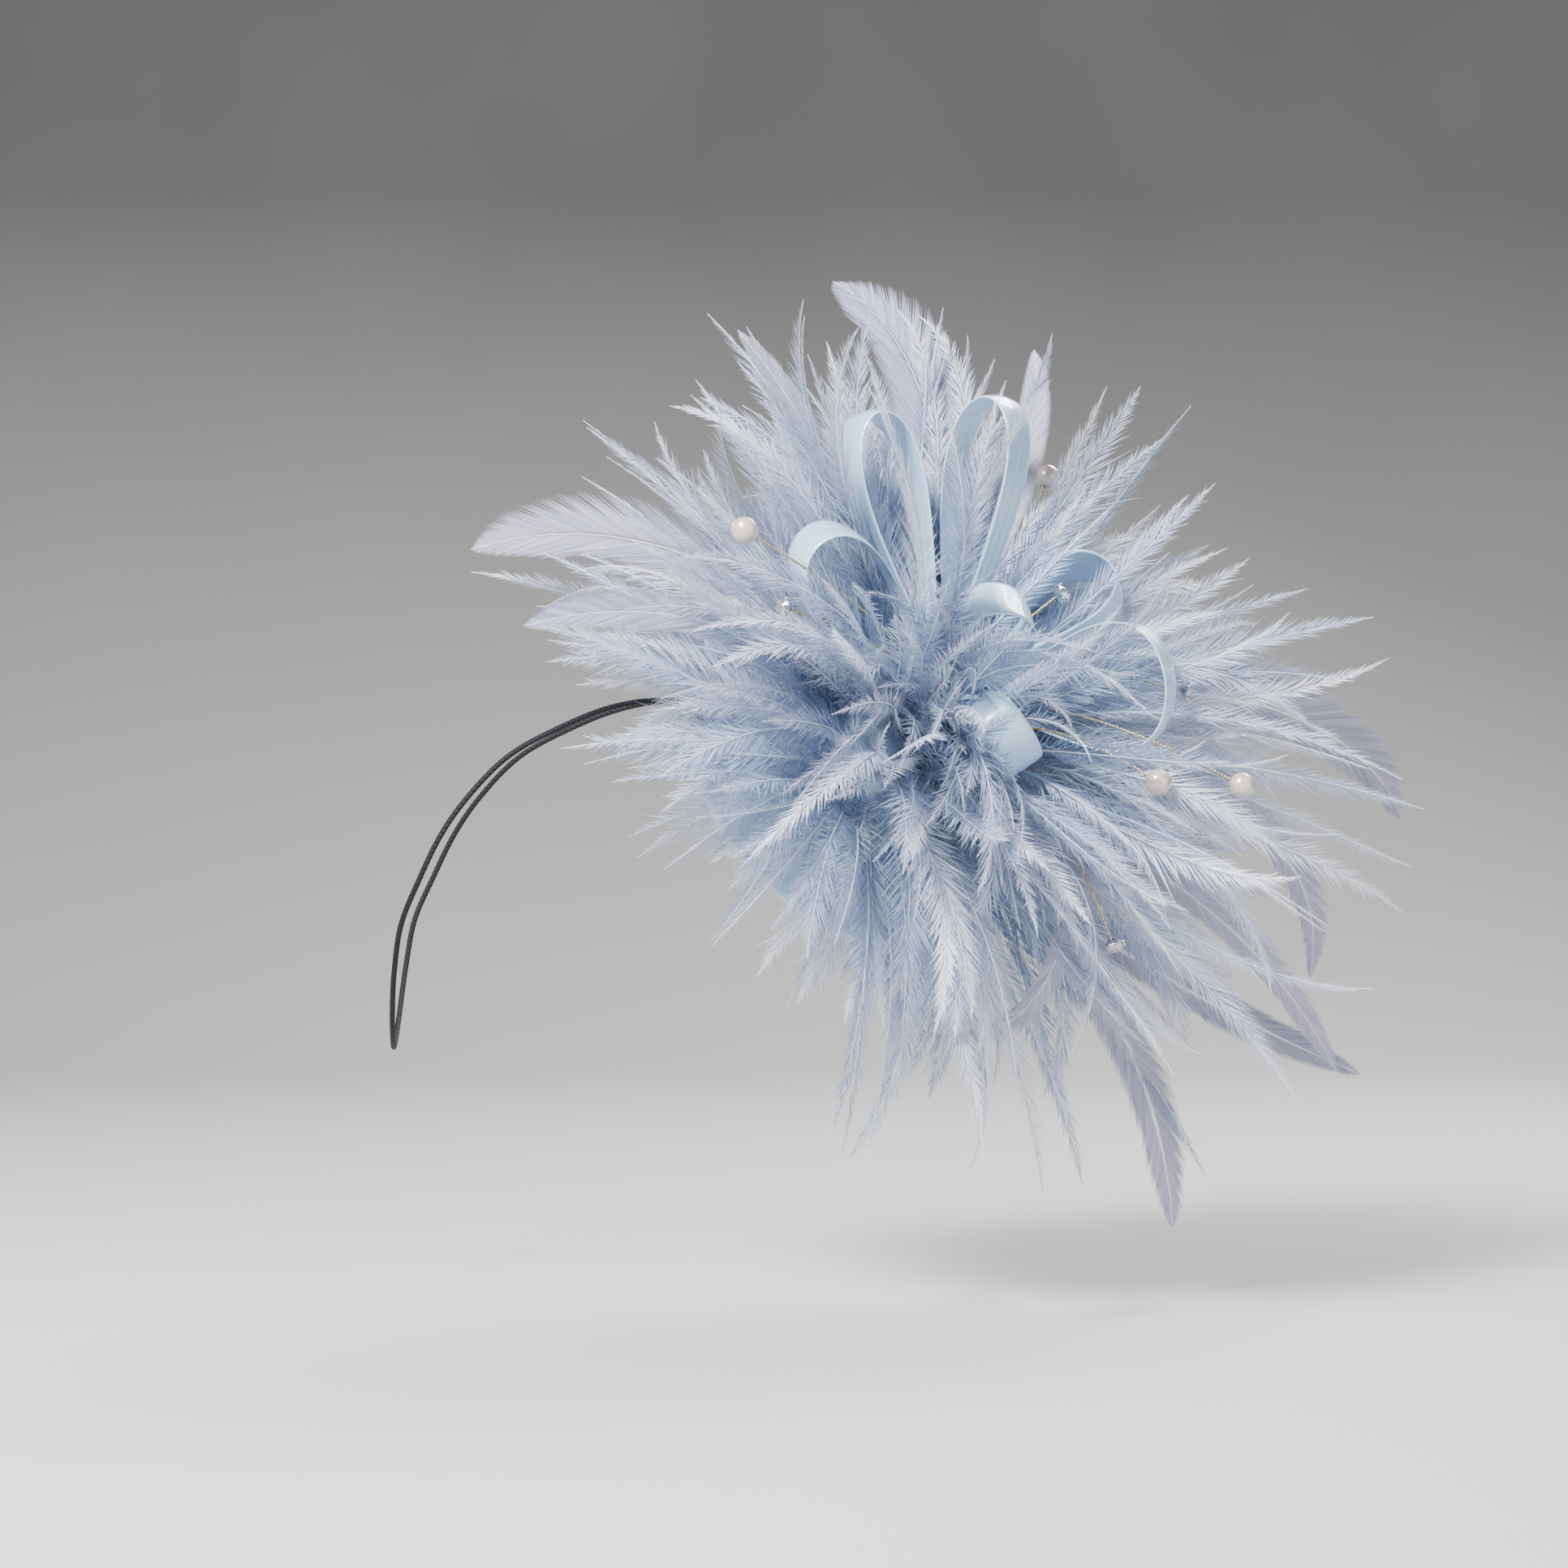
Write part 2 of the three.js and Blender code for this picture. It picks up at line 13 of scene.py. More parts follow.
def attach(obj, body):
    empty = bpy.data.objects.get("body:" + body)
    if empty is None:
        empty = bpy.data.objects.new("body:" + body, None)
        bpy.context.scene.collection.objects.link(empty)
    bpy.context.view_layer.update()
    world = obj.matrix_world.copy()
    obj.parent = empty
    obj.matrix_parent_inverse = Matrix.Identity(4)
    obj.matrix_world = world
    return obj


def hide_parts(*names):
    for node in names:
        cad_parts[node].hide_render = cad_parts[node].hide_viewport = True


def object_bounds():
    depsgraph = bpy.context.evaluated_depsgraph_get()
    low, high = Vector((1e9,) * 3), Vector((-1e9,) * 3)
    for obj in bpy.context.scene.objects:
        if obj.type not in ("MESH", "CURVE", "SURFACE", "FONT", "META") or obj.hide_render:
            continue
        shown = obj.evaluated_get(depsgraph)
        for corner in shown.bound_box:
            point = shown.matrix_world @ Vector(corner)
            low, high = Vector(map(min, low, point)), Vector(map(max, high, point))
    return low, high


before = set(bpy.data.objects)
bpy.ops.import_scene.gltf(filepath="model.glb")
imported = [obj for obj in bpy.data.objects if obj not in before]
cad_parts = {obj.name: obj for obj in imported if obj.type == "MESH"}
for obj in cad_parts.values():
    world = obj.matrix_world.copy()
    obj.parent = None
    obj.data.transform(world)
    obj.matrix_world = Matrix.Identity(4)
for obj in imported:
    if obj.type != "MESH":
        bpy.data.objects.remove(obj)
cad_low, cad_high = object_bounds()

MM = 0.001
SEED = 7
UP = Vector((0, 0, 1))
FULL_TURN = 2 * math.pi

# Sizes that the solids have, in millimetres
FIT_GAP = 0.3
BROW_ANGLE = 45
SIDE_LEAN = 31.6
BASE_RADIUS = 45
BASE_WALL = 2
BASE_CURVE = 85
CORE_RADIUS = 12
CORE_HEIGHT = 48
HEAD_WALL = 11
HEAD_DROP = 2
BUNCH_COUNT = 8
HACKLE_LENGTH = 120
HACKLE_WIDTH = 17
GOOSE_LENGTH = 150
GOOSE_WIDTH = 21
RIBBON_WIDTH = 15
RIBBON_GATHER = 5
RIBBON_OPENING = 1.4
RIBBON_LENGTH = 80
RIBBON_FULLNESS = 22
RIBBON_KNOT = 5
RIBBON_ROOT = 0.62
STEM_ROOT = 18
STEM_RISE = 24
PEARL_RADIUS = 4
STONE_RADIUS = 3
STONE_TABLE = 1.7
STONE_CROWN = 1.3
STONE_PAVILION = 2
SETTING_WALL = 0.4
ELASTIC_RADIUS = 0.875
KNOT_RADIUS = 2.4
EYELET_REACH = 40
EYELET_AZIMUTHS = (-4, -50)

CORE_FOOT = BASE_WALL + FIT_GAP
CORE_TOP = CORE_FOOT + CORE_HEIGHT
BUNCH_TOP = CORE_TOP - HEAD_DROP
BUNCH_HEIGHT = BUNCH_TOP - CORE_FOOT
HEAD_INNER = CORE_RADIUS + FIT_GAP
HEAD_OUTER = HEAD_INNER + HEAD_WALL
SPAN = 360 / BUNCH_COUNT

# The camera stands level at the wearer's side, as the photograph's does
FRAME_WIDTH = 0.483
LENS = 100
SENSOR = 36
AIM = Vector((-0.0175, 0, 0.00375))


def table(columns, *rows):
    """The rows of a table as dictionaries, with a value for each named column."""
    return [dict(zip(columns.split(), row)) for row in rows]


# The bunches round the bloom's axis from the crown: reach as a share of the hackle length,
# lift in degrees, and the feathers of the top tier
BUNCHES = table(
    "name reach lift crest",
    ("bunch_crown", 0.98, -4, 0),
    ("bunch_crown_side", 0.86, 2, 0),
    ("bunch_side", 0.76, 14, 2),
    ("bunch_temple", 1.02, -4, 2),
    ("bunch_brow", 1.14, -2, 2),
    ("bunch_front", 1.14, 8, 2),
    ("bunch_far_side", 0.98, 16, 2),
    ("bunch_crown_far", 1.0, 8, 2),
)
# The hackles of the solids: a seat as a share of the bunch's height, and a bend from rise at the
# root to fall at the tip
TIERS = table(
    "seat rise fall reach width count",
    (0.14, 14, -24, 1.0, 1.0, 4),
    (0.4, 32, -4, 1.03, 1.1, 3),
    (0.66, 48, 16, 0.98, 0.95, 3),
)
CREST = dict(seat=0.88, rise=66, fall=26, reach=0.62, width=0.8)
# The goose feathers, each at its own azimuth, turned by its roll about its quill
GOOSE = table(
    "azimuth seat rise fall length width roll",
    (4, 0.8, 48, 8, 0.8, 0.45, -45),
    (18, 0.55, 34, -62, 0.95, 0.95, -50),
    (32, 0.5, 32, -56, 0.79, 0.6, -45),
    (150, 0.8, 44, -10, 0.52, 0.9, 40),
    (154, 0.9, 84, -110, 0.98, 0.4, 45),
    (172, 0.35, 20, -44, 1.08, 0.7, 55),
    (191, 0.45, 36, -26, 1.1, 0.5, 60),
    (194, 0.3, -4, 18, 1.12, 0.6, 60),
    (207, 0.6, 60, -58, 1.18, 0.6, 60),
    (220, 0.75, 64, -34, 1.2, 1.0, 50),
    (303, 0.9, 88, 14, 0.8, 0.5, -25),
    (325, 0.85, 88, -6, 1.0, 1.2, -40),
)
# Softer hackles that fill each bunch between those of its solid, from the skirt over the base
# to the short ones among the ribbons. Lifted is the share of the bunch's lift that they take.
FILLS = table(
    "seat rise fall reach width count lifted",
    (0.04, -10, -48, 0.62, 1.5, 7, 0.0),
    (0.2, 10, -30, 0.88, 1.35, 9, 0.6),
    (0.42, 28, -8, 0.96, 1.25, 10, 1.0),
    (0.64, 44, 10, 0.96, 1.15, 10, 1.0),
    (0.82, 60, 30, 0.84, 1.05, 9, 1.0),
    (0.97, 76, 50, 0.58, 0.95, 7, 0.5),
)
# The ranges in which hackles vary: those of the solids, as they have them, and the fill. Place is
# a share of the step round the bunch, angles are in degrees, length and width are shares.
OWN = dict(place=(0.25, 0.75), rise=(-5, 5), fall=(-11, 11), length=(0.9, 1.1),
           width=(0.85, 1.15), roll=(-35, 35))
FILL = dict(place=(0, 1), seat=(-0.04, 0.08), rise=(-9, 9), fall=(-24, 18), length=(0.66, 1.05),
            width=(0.75, 1.4), roll=(-50, 50))
VEIL_ROLL = (-40, 40)
HIGHEST_SEAT = 0.98
# Some of the fill is long and narrow
LONG_SHARE = 0.12
LONG_LENGTH = (1.08, 1.2)
LONG_WIDTH = 0.65
# How far feathers sway, curl and twist at most, in degrees: those of the solids, and the others
STEADY = dict(sway=3, curl=0, twist=8)
SOFT = dict(sway=36, curl=64, twist=60)
# Feathers that stand up between the ribbon loops and hide part of them. Sway is how far the
# azimuth turns on the way to the tip.
VEILS = table(
    "azimuth rise fall reach width sway",
    (357, 60, 48, 1.02, 1.1, -8),
    (4, 57, 40, 0.95, 1.3, -12),
    (9, 46, 34, 1.0, 1.2, -8),
    (14, 52, 28, 0.9, 1.2, -20),
    (18, 40, 26, 0.95, 1.1, -14),
    (46, 72, 46, 0.96, 1.3, -66),
    (48, 64, 34, 0.92, 1.4, -52),
    (50, 74, 50, 0.98, 1.2, -84),
    (52, 58, 22, 0.9, 1.3, -46),
    (55, 68, 30, 0.94, 1.4, -66),
    (58, 76, 44, 0.96, 1.2, -80),
    (60, 62, 26, 0.9, 1.2, -58),
    (65, 70, 36, 0.88, 1.3, -74),
    (62, 84, 50, 0.4, 1.3, -10),
    (70, 82, 14, 0.56, 1.2, -30),
    (78, 84, 60, 0.34, 1.4, 10),
    (82, 80, 36, 0.9, 1.2, 96),
    (84, 86, 30, 0.5, 1.1, 26),
    (88, 78, 24, 0.8, 1.3, 76),
    (92, 80, 40, 0.3, 1.5, -14),
    (94, 74, 10, 0.85, 1.3, 60),
    (98, 82, 0, 0.5, 1.2, 20),
    (100, 70, -6, 0.8, 1.3, 50),
    (112, 78, -10, 0.6, 1.3, -14),
    (118, 82, 30, 0.32, 1.4, -10),
    (122, 70, -16, 0.66, 1.3, 12),
    (132, 46, -40, 0.6, 1.2, 16),
    (146, 40, -40, 0.66, 1.2, -14),
    (162, 50, -24, 0.6, 1.1, 14),
    (182, 80, 10, 0.6, 1.0, -18),
    (206, 78, 24, 0.7, 1.0, 16),
    (232, 76, 20, 0.78, 1.0, -14),
    (258, 70, 24, 0.86, 1.0, 14),
    (282, 74, 34, 0.92, 1.1, -12),
    (314, 78, 48, 1.0, 1.0, 14),
    (328, 84, 56, 1.0, 0.9, -10),
    (340, 86, 60, 0.94, 0.9, 10),
)

RIBBONS = table(
    "root azimuth lift turn length fullness",
    (350, 352, 30, 60, 1.0, 0.7),
    (300, 330, 49, 10, 1.05, 0.7),
    (40, 26, 18, 30, 0.8, 0.8),
    (96, 0, 80, 40, 0.5, 0.8),
    (193, 193, 52, -30, 0.78, 1.3),
    (138, 124, 30, 60, 0.5, 0.8),
    (245, 262, 40, 60, 0.75, 0.9),
)
# Reach and height as shares of the hackle length. A stem with no root stands on the core.
PEARLS = table(
    "root reach azimuth height",
    (72, 0.79, 38, 0.63),
    (163, 0.53, 172, 0.72),
    (212, 0.7, 191, 0.77),
    (286, 0.6, 290, 0.78),
)
CRYSTALS = table(
    "root reach azimuth height",
    (92, 0.63, 47, 0.54),
    (None, 0.2, 262, 0.76),
    (232, 0.51, 213, 0.78),
    (152, 0.82, 152, 0.48),
)

# The elastic's route, the points of its solid in millimetres
ELASTIC_ROUTE = (
    (-32.8, 6.7, 25.0), (-33.2, 7.6, 23.2), (-34.3, 9.1, 20.8), (-35.9, 10.2, 20.0),
    (-37.8, 11.0, 20.3), (-41.2, 12.0, 22.1), (-45.2, 12.6, 25.7), (-54.0, 13.6, 29.5),
    (-69.5, 11.2, 28.0), (-86.5, 9.2, 21.5), (-103.0, 8.4, 12.3), (-116.0, 6.6, -1.0),
    (-123.8, 5.8, -12.3), (-130.5, 6.6, -26.0), (-136.3, 10.0, -39.8), (-138.8, 14.0, -54.5),
    (-140.0, 20.8, -67.3), (-140.6, 29.5, -76.6), (-140.8, 35.0, -79.4), (-140.6, 40.5, -76.6),
    (-140.0, 49.2, -67.3), (-138.8, 56.0, -54.5), (-136.3, 60.0, -39.8), (-130.5, 63.4, -26.0),
    (-123.8, 64.2, -12.3), (-116.0, 63.4, -1.0), (-103.0, 61.6, 12.3), (-86.5, 60.8, 21.5),
    (-69.5, 58.8, 28.0), (-50.0, 55.6, 31.2), (-33.0, 51.4, 31.6), (-21.1, 45.4, 29.3),
    (-18.4, 38.6, 22.4), (-16.8, 35.4, 20.6), (-15.7, 33.7, 20.3), (-14.4, 32.2, 21.1),
    (-12.9, 31.3, 23.5), (-11.9, 31.0, 25.3),
)


# Places in the bloom's frame, in millimetres

def bloom_matrix():
    """The turn from the bloom's own frame to the row's."""
    brow, lean = math.radians(BROW_ANGLE), math.radians(SIDE_LEAN)
    outward = Vector((
        math.cos(lean) * math.cos(brow), -math.sin(lean), math.cos(lean) * math.sin(brow)))
    crownward = Vector((-math.sin(brow), 0, math.cos(brow)))
    near = outward.cross(crownward)
    return Matrix((crownward, near, outward)).transposed()


BLOOM = bloom_matrix()


def place(reach, azimuth, height):
    turn = math.radians(azimuth)
    return Vector((reach * math.cos(turn), reach * math.sin(turn), height))


def heading(azimuth, lift):
    tilt = math.radians(lift)
    return place(math.cos(tilt), azimuth, math.sin(tilt))


def to_row(point):
    """A point of the bloom's frame in millimetres, in the row's frame in metres."""
    return BLOOM @ point * MM


# Shader and geometry nodes, written as expressions

class Value:
    """A number socket whose arithmetic adds Math nodes to its tree."""

    def __init__(self, net, socket):
        self.net, self.socket = net, socket

    def _math(self, operation, *terms):
        return self.net.value("ShaderNodeMath", dict(operation=operation), dict(enumerate(terms)))

    def __add__(self, other):
        return self._math("ADD", self, other)

    def __sub__(self, other):
        return self._math("SUBTRACT", self, other)

    def __rsub__(self, other):
        return self._math("SUBTRACT", other, self)

    def __mul__(self, other):
        return self._math("MULTIPLY", self, other)

    def __pow__(self, other):
        return self._math("POWER", self, other)

    __radd__ = __add__
    __rmul__ = __mul__

    def fract(self):
        return self._math("FRACT", self)

    def absolute(self):
        return self._math("ABSOLUTE", self)

    def sine(self):
        return self._math("SINE", self)

    def cosine(self):
        return self._math("COSINE", self)

    def over(self, limit):
        return self._math("GREATER_THAN", self, limit)

    def at_least(self, other):
        return self._math("MAXIMUM", self, other)

    def at_most(self, other):
        return self._math("MINIMUM", self, other)


class Arrow:
    """A vector socket whose arithmetic adds Vector Math nodes to its tree."""

    def __init__(self, net, socket):
        self.net, self.socket = net, socket

    def _math(self, operation, links):
        return self.net.arrow("ShaderNodeVectorMath", dict(operation=operation), links)

    def __add__(self, other):
        return self._math("ADD", {0: self, 1: other})

    def __mul__(self, scale):
        return self._math("SCALE", {0: self, "Scale": scale})

    def cross(self, other):
        return self._math("CROSS_PRODUCT", {0: self, 1: other})

    def normalized(self):
        return self._math("NORMALIZE", {0: self})

    def parts(self):
        node = self.net.node("ShaderNodeSeparateXYZ", {}, {0: self})
        return [self.net.out(node, i) for i in range(3)]


class Net:
    """A node tree that nodes are added to by type, settings and linked values."""

    def __init__(self, tree):
        self.tree = tree

    def node(self, kind, settings=None, links=None):
        """A new node. Another node among its links stands for that node's first output."""
        node = self.tree.nodes.new(kind)
        for name, setting in (settings or {}).items():
            setattr(node, name, setting)
        for key, value in (links or {}).items():
            if isinstance(value, bpy.types.Node):
                value = value.outputs[0]
            elif isinstance(value, (Value, Arrow)):
                value = value.socket
            if isinstance(value, bpy.types.NodeSocket):
                self.tree.links.new(value, node.inputs[key])
            else:
                node.inputs[key].default_value = value
        return node

    def out(self, node, key):
        return Value(self, node.outputs[key])

    def value(self, kind, settings=None, links=None, key=0):
        return self.out(self.node(kind, settings, links), key)

    def arrow(self, kind, settings=None, links=None, key=0):
        return Arrow(self, self.node(kind, settings, links).outputs[key])


class ShaderNet(Net):
    """The net of a material."""

    def attributes(self, *names):
        """Named attributes of the mesh, as values."""
        return [self.value("ShaderNodeAttribute", dict(attribute_name=name), key="Fac")
                for name in names]

    def spot(self):
        """The point on the piece, in its own coordinates."""
        return self.arrow("ShaderNodeTexCoord", key="Object")

    def unrolled(self):
        """The share of the way across a band or round a cord, and the metres along it."""
        return self.arrow("ShaderNodeUVMap").parts()[:2]

    def mix(self, factor, first, second):
        """A colour mixed by a factor from two colours."""
        node = self.node("ShaderNodeMix", dict(data_type="RGBA"), {0: factor, 6: first, 7: second})
        return node.outputs[2]

    def noise(self, vector, scale, detail=2.0):
        return self.value("ShaderNodeTexNoise", {}, {
            "Vector": vector, "Scale": scale, "Detail": detail})

    def bump(self, height, strength, distance):
        return self.node("ShaderNodeBump", {}, {
            "Height": height, "Strength": strength, "Distance": distance})

    def surface(self, sockets):
        return self.node("ShaderNodeBsdfPrincipled", {}, sockets)


class MakerNet(Net):
    """The net of a geometry tree that makes pieces along paths, from sizes and materials."""

    def __init__(self, name, sizes, materials):
        super().__init__(bpy.data.node_groups.new(name, "GeometryNodeTree"))
        self.take("Path", "Geometry")
        for label, default in sizes.items():
            self.take(label, "Float").default_value = default
        for label in materials:
            self.take(label, "Material")
        self.tree.interface.new_socket(
            "Result", in_out="OUTPUT", socket_type="NodeSocketGeometry")
        self.given = self.node("NodeGroupInput")

    def take(self, label, kind):
        """Adds an input to the tree."""
        return self.tree.interface.new_socket(
            label, in_out="INPUT", socket_type="NodeSocket" + kind)

    def size(self, label):
        return self.out(self.given, label)

    def fact(self, label):
        """A number that the path carries."""
        return self.value("GeometryNodeInputNamedAttribute", dict(data_type="FLOAT"), {
            "Name": label})

    def arrow_fact(self, label):
        """A vector that the path carries."""
        return self.arrow("GeometryNodeInputNamedAttribute", dict(data_type="FLOAT_VECTOR"), {
            "Name": label})

    def chance(self, low, high, seed):
        """A random number for each point."""
        return self.value("FunctionNodeRandomValue", dict(data_type="FLOAT"), {
            2: low, 3: high, 8: seed}, key=1)

    def tangent(self):
        return self.arrow("GeometryNodeInputTangent")

    def vector(self, x, y, z):
        return self.arrow("ShaderNodeCombineXYZ", {}, {0: x, 1: y, 2: z})

    def paths(self):
        return self.node("GeometryNodeMeshToCurve", {}, {0: self.given.outputs["Path"]})

    def stepped(self, curves, label):
        """Curves with points at even steps, whose length is a size of the tree."""
        return self.node("GeometryNodeResampleCurve", dict(mode="LENGTH"), {
            "Curve": curves, "Length": self.size(label)})

    def stored(self, geometry, label, value, domain="POINT"):
        """A geometry that carries one more number or vector."""
        kind = "FLOAT_VECTOR" if isinstance(value, Arrow) else "FLOAT"
        return self.node("GeometryNodeStoreNamedAttribute", dict(data_type=kind, domain=domain), {
            "Geometry": geometry, "Name": label, "Value": value})

    def joined(self, *parts):
        node = self.node("GeometryNodeJoinGeometry")
        for part in parts:
            self.tree.links.new(part.outputs[0], node.inputs[0])
        return node

    def realized(self, geometry):
        return self.node("GeometryNodeRealizeInstances", {}, {0: geometry})

    def coated(self, geometry, label):
        """A geometry with one of the tree's materials."""
        return self.node("GeometryNodeSetMaterial", {}, {
            0: geometry, "Material": self.given.outputs[label]})

    def finished(self, geometry):
        """The tree, once its result is known."""
        self.node("NodeGroupOutput", {}, {0: geometry})
        return self.tree


def colour(red, green, blue):
    return (red, green, blue, 1.0)


def new_material(name, shader, *finish):
    """A material whose shader is built on an empty net by a function that takes its finish."""
    made = bpy.data.materials.new(name)
    made.use_nodes = True
    made.node_tree.nodes.clear()
    net = ShaderNet(made.node_tree)
    net.node("ShaderNodeOutputMaterial", {}, {0: shader(net, *finish)})
    return made


# Materials

def feather_barbs(net):
    """Dyed barbs: deeper blue in the heart of the bloom, greyer and lighter at the tips."""
    share, tone, barb, along, goose = net.attributes(
        "share", "tone", "barb_tone", "along_barb", "goose")
    dyed = net.mix(share ** 0.7, colour(0.16, 0.42, 0.80), colour(0.44, 0.57, 0.79))
    tip = (share - 0.45).at_least(0.0) * 1.3 + 0.25 * along
    dusty = net.mix(tip.at_most(1.0), dyed, colour(0.59, 0.61, 0.74))
    dark = net.mix((1.0 - tone) * (1.0 - tone) * 0.5, dusty, colour(0.22, 0.30, 0.47))
    hackle = net.mix(tone * tone * 0.8 + barb * 0.25, dark, colour(0.90, 0.91, 0.97))
    vane = net.mix(tone * 0.4 + barb * 0.6, colour(0.20, 0.21, 0.34), colour(0.50, 0.49, 0.60))
    surface = net.surface({
        "Base Color": net.mix(goose * 0.92, hackle, vane), "Roughness": 0.36 + 0.2 * barb,
        "Sheen Weight": 0.2, "Sheen Roughness": 0.4, "Specular IOR Level": 0.5})
    through = net.node("ShaderNodeBsdfTranslucent", {}, {"Color": colour(0.50, 0.62, 0.84)})
    return net.node("ShaderNodeMixShader", {}, {0: 0.26 - 0.18 * goose, 1: surface, 2: through})


def feather_quill(net):
    """The horn of the quills, dyed lightly and a little glossy."""
    share, = net.attributes("share")
    grain = net.noise(net.spot(), 900.0)
    horn = net.mix(share, colour(0.50, 0.66, 0.84), colour(0.82, 0.84, 0.88))
    mottled = net.mix(grain * 0.3, horn, colour(0.93, 0.93, 0.92))
    return net.surface({"Base Color": mottled, "Roughness": 0.3 + 0.2 * grain})


def ribbon_satin(net):
    """Pale blue satin: fine floats across the ribbon, and a woven edge."""
    across, along = net.unrolled()
    edge = ((across - 0.5).absolute() - 0.455).over(0.0)
    floats = (across * 1400.0).sine() * 0.5 + (along * 5200.0).sine() * 0.5
    cloud = net.noise(net.spot(), 60.0, 3.0)
    blue = net.mix(cloud, colour(0.38, 0.60, 0.84), colour(0.52, 0.72, 0.91))
    return net.surface({
        "Base Color": net.mix(edge * 0.6, blue, colour(0.72, 0.85, 0.95)),
        "Roughness": 0.22 + 0.1 * cloud + 0.2 * edge,
        "Sheen Weight": 0.1, "Anisotropic": 0.5, "Specular IOR Level": 0.9,
        "Coat Weight": 0.9, "Coat Roughness": 0.1,
        "Normal": net.bump(floats + cloud * 2.0, 0.12, 0.0003)})


def pearl_coat(net):
    """Cream pearl coat with a faint rose cast, and painted shade that darkens it towards its rim."""
    spot = net.spot()
    cloud = net.noise(spot, 220.0, 3.0)
    # Painted shade: the coat turns a dark warm brown where its surface turns away from the camera
    painted_rim_shade = net.value("ShaderNodeLayerWeight", {}, {0: 0.35}, key="Facing")
    cream = net.mix(cloud, colour(0.70, 0.59, 0.50), colour(0.76, 0.66, 0.61))
    return net.surface({
        "Base Color": net.mix(painted_rim_shade * 0.75, cream, colour(0.44, 0.33, 0.27)),
        "Roughness": 0.26 + 0.08 * cloud, "Metallic": 0.25,
        "Coat Weight": 1.0, "Coat Roughness": 0.05,
        "Normal": net.bump(net.noise(spot, 1500.0), 0.05, 0.0002)})


def cut_stone(net):
    """Cut glass with a silvered back, which glitters warm."""
    glitter = net.noise(net.spot(), 1400.0, 1.0)
    return net.surface({
        "Base Color": net.mix(glitter, colour(0.50, 0.44, 0.40), colour(1.0, 0.97, 0.94)),
        "Roughness": 0.03, "IOR": 1.6, "Metallic": 0.6, "Transmission Weight": 0.6,
        "Normal": net.bump(glitter, 0.4, 0.0004)})


def metal(net, low, high, roughness):
    """Drawn or plated metal, with fine wear."""
    wear = net.noise(net.spot(), 900.0, 4.0)
    return net.surface({
        "Base Color": net.mix(wear, low, high), "Metallic": 1.0,
        "Roughness": roughness + 0.18 * wear, "Normal": net.bump(wear, 0.15, 0.0001)})


def elastic_braid(net):
    """Black braid: two sets of strands that cross round the cord."""
    around, along = net.unrolled()
    right = ((around * 4.0 + along * 560.0) * FULL_TURN).sine()
    left = ((around * 4.0 - along * 560.0) * FULL_TURN).sine()
    braid = right.at_least(left)
    black = net.mix(braid * 0.5 + 0.5, colour(0.003, 0.003, 0.004), colour(0.016, 0.016, 0.02))
    return net.surface({
        "Base Color": black, "Roughness": 0.6 - 0.1 * braid, "Specular IOR Level": 0.2,
        "Normal": net.bump(braid, 0.5, 0.0002)})


def cloth(net, low, high, threads):
    """Plain woven cloth, in two tones of blue."""
    spot = net.spot()
    x, y, z = spot.parts()
    warp = ((x + y * 0.3) * threads).sine()
    weft = ((z - y * 0.3) * threads).sine()
    weave = warp * weft * 0.5 + 0.5
    cloud = net.noise(spot, 90.0, 3.0)
    return net.surface({
        "Base Color": net.mix(weave * 0.6 + cloud * 0.4, low, high),
        "Roughness": 0.85 - 0.1 * weave, "Sheen Weight": 0.3,
        "Normal": net.bump(weave, 0.4, 0.0003)})


MATERIALS = dict(
    feather=new_material("feather_barbs", feather_barbs),
    quill=new_material("feather_quill", feather_quill),
    satin=new_material("ribbon_satin", ribbon_satin),
    pearl=new_material("pearl_coat", pearl_coat),
    stone=new_material("cut_stone", cut_stone),
    silver=new_material(
        "silver_setting", metal, colour(0.62, 0.62, 0.64), colour(0.86, 0.86, 0.88), 0.14),
    gold=new_material("gold_wire", metal, colour(0.50, 0.40, 0.18), colour(0.76, 0.64, 0.34), 0.24),
    elastic=new_material("elastic_braid", elastic_braid),
    base=new_material(
        "base_cloth", cloth, colour(0.36, 0.54, 0.76), colour(0.58, 0.73, 0.88), 5200.0),
    binding=new_material(
        "binding_thread", cloth, colour(0.34, 0.54, 0.78), colour(0.52, 0.70, 0.88), 7000.0),
)


# Meshes

def added(name, data):
    """A new object in the scene."""
    thing = bpy.data.objects.new(name, data)
    bpy.context.scene.collection.objects.link(thing)
    return thing


def mesh_object(name, points, faces, material=None, edges=()):
    mesh = bpy.data.meshes.new(name)
    mesh.from_pydata([tuple(p) for p in points], list(edges), faces)
    mesh.validate()
    if material:
        mesh.materials.append(material)
    return added(name, mesh)


def smooth(thing):
    thing.data.polygons.foreach_set("use_smooth", [True] * len(thing.data.polygons))
    return thing


def plain(source):
    """A plain mesh object in place of one with modifiers."""
    shown = source.evaluated_get(bpy.context.evaluated_depsgraph_get())
    mesh = bpy.data.meshes.new_from_object(shown)
    name = source.name
    bpy.data.objects.remove(source)
    return added(name, mesh)


def made_by(tree, source, materials):
    """The plain mesh object that a geometry tree makes from a source object."""
    modifier = source.modifiers.new("maker", "NODES")
    modifier.node_group = tree
    for item in tree.interface.items_tree:
        if item.name in materials:
            modifier[item.identifier] = materials[item.name]
    return plain(source)


def joined_pieces(name, things):
    """One object from several that have no modifiers."""
    with bpy.context.temp_override(
            active_object=things[0], object=things[0], selected_objects=things,
            selected_editable_objects=things):
        bpy.ops.object.join()
    things[0].name = name
    return things[0]


def outward(thing, welded=False):
    """Turns the faces of a closed piece to point out, with its seam welded first if asked."""
    body = bmesh.new()
    body.from_mesh(thing.data)
    if welded:
        bmesh.ops.remove_doubles(body, verts=body.verts, dist=1e-7)
    bmesh.ops.recalc_face_normals(body, faces=body.faces)
    body.to_mesh(thing.data)
    body.free()
    return thing


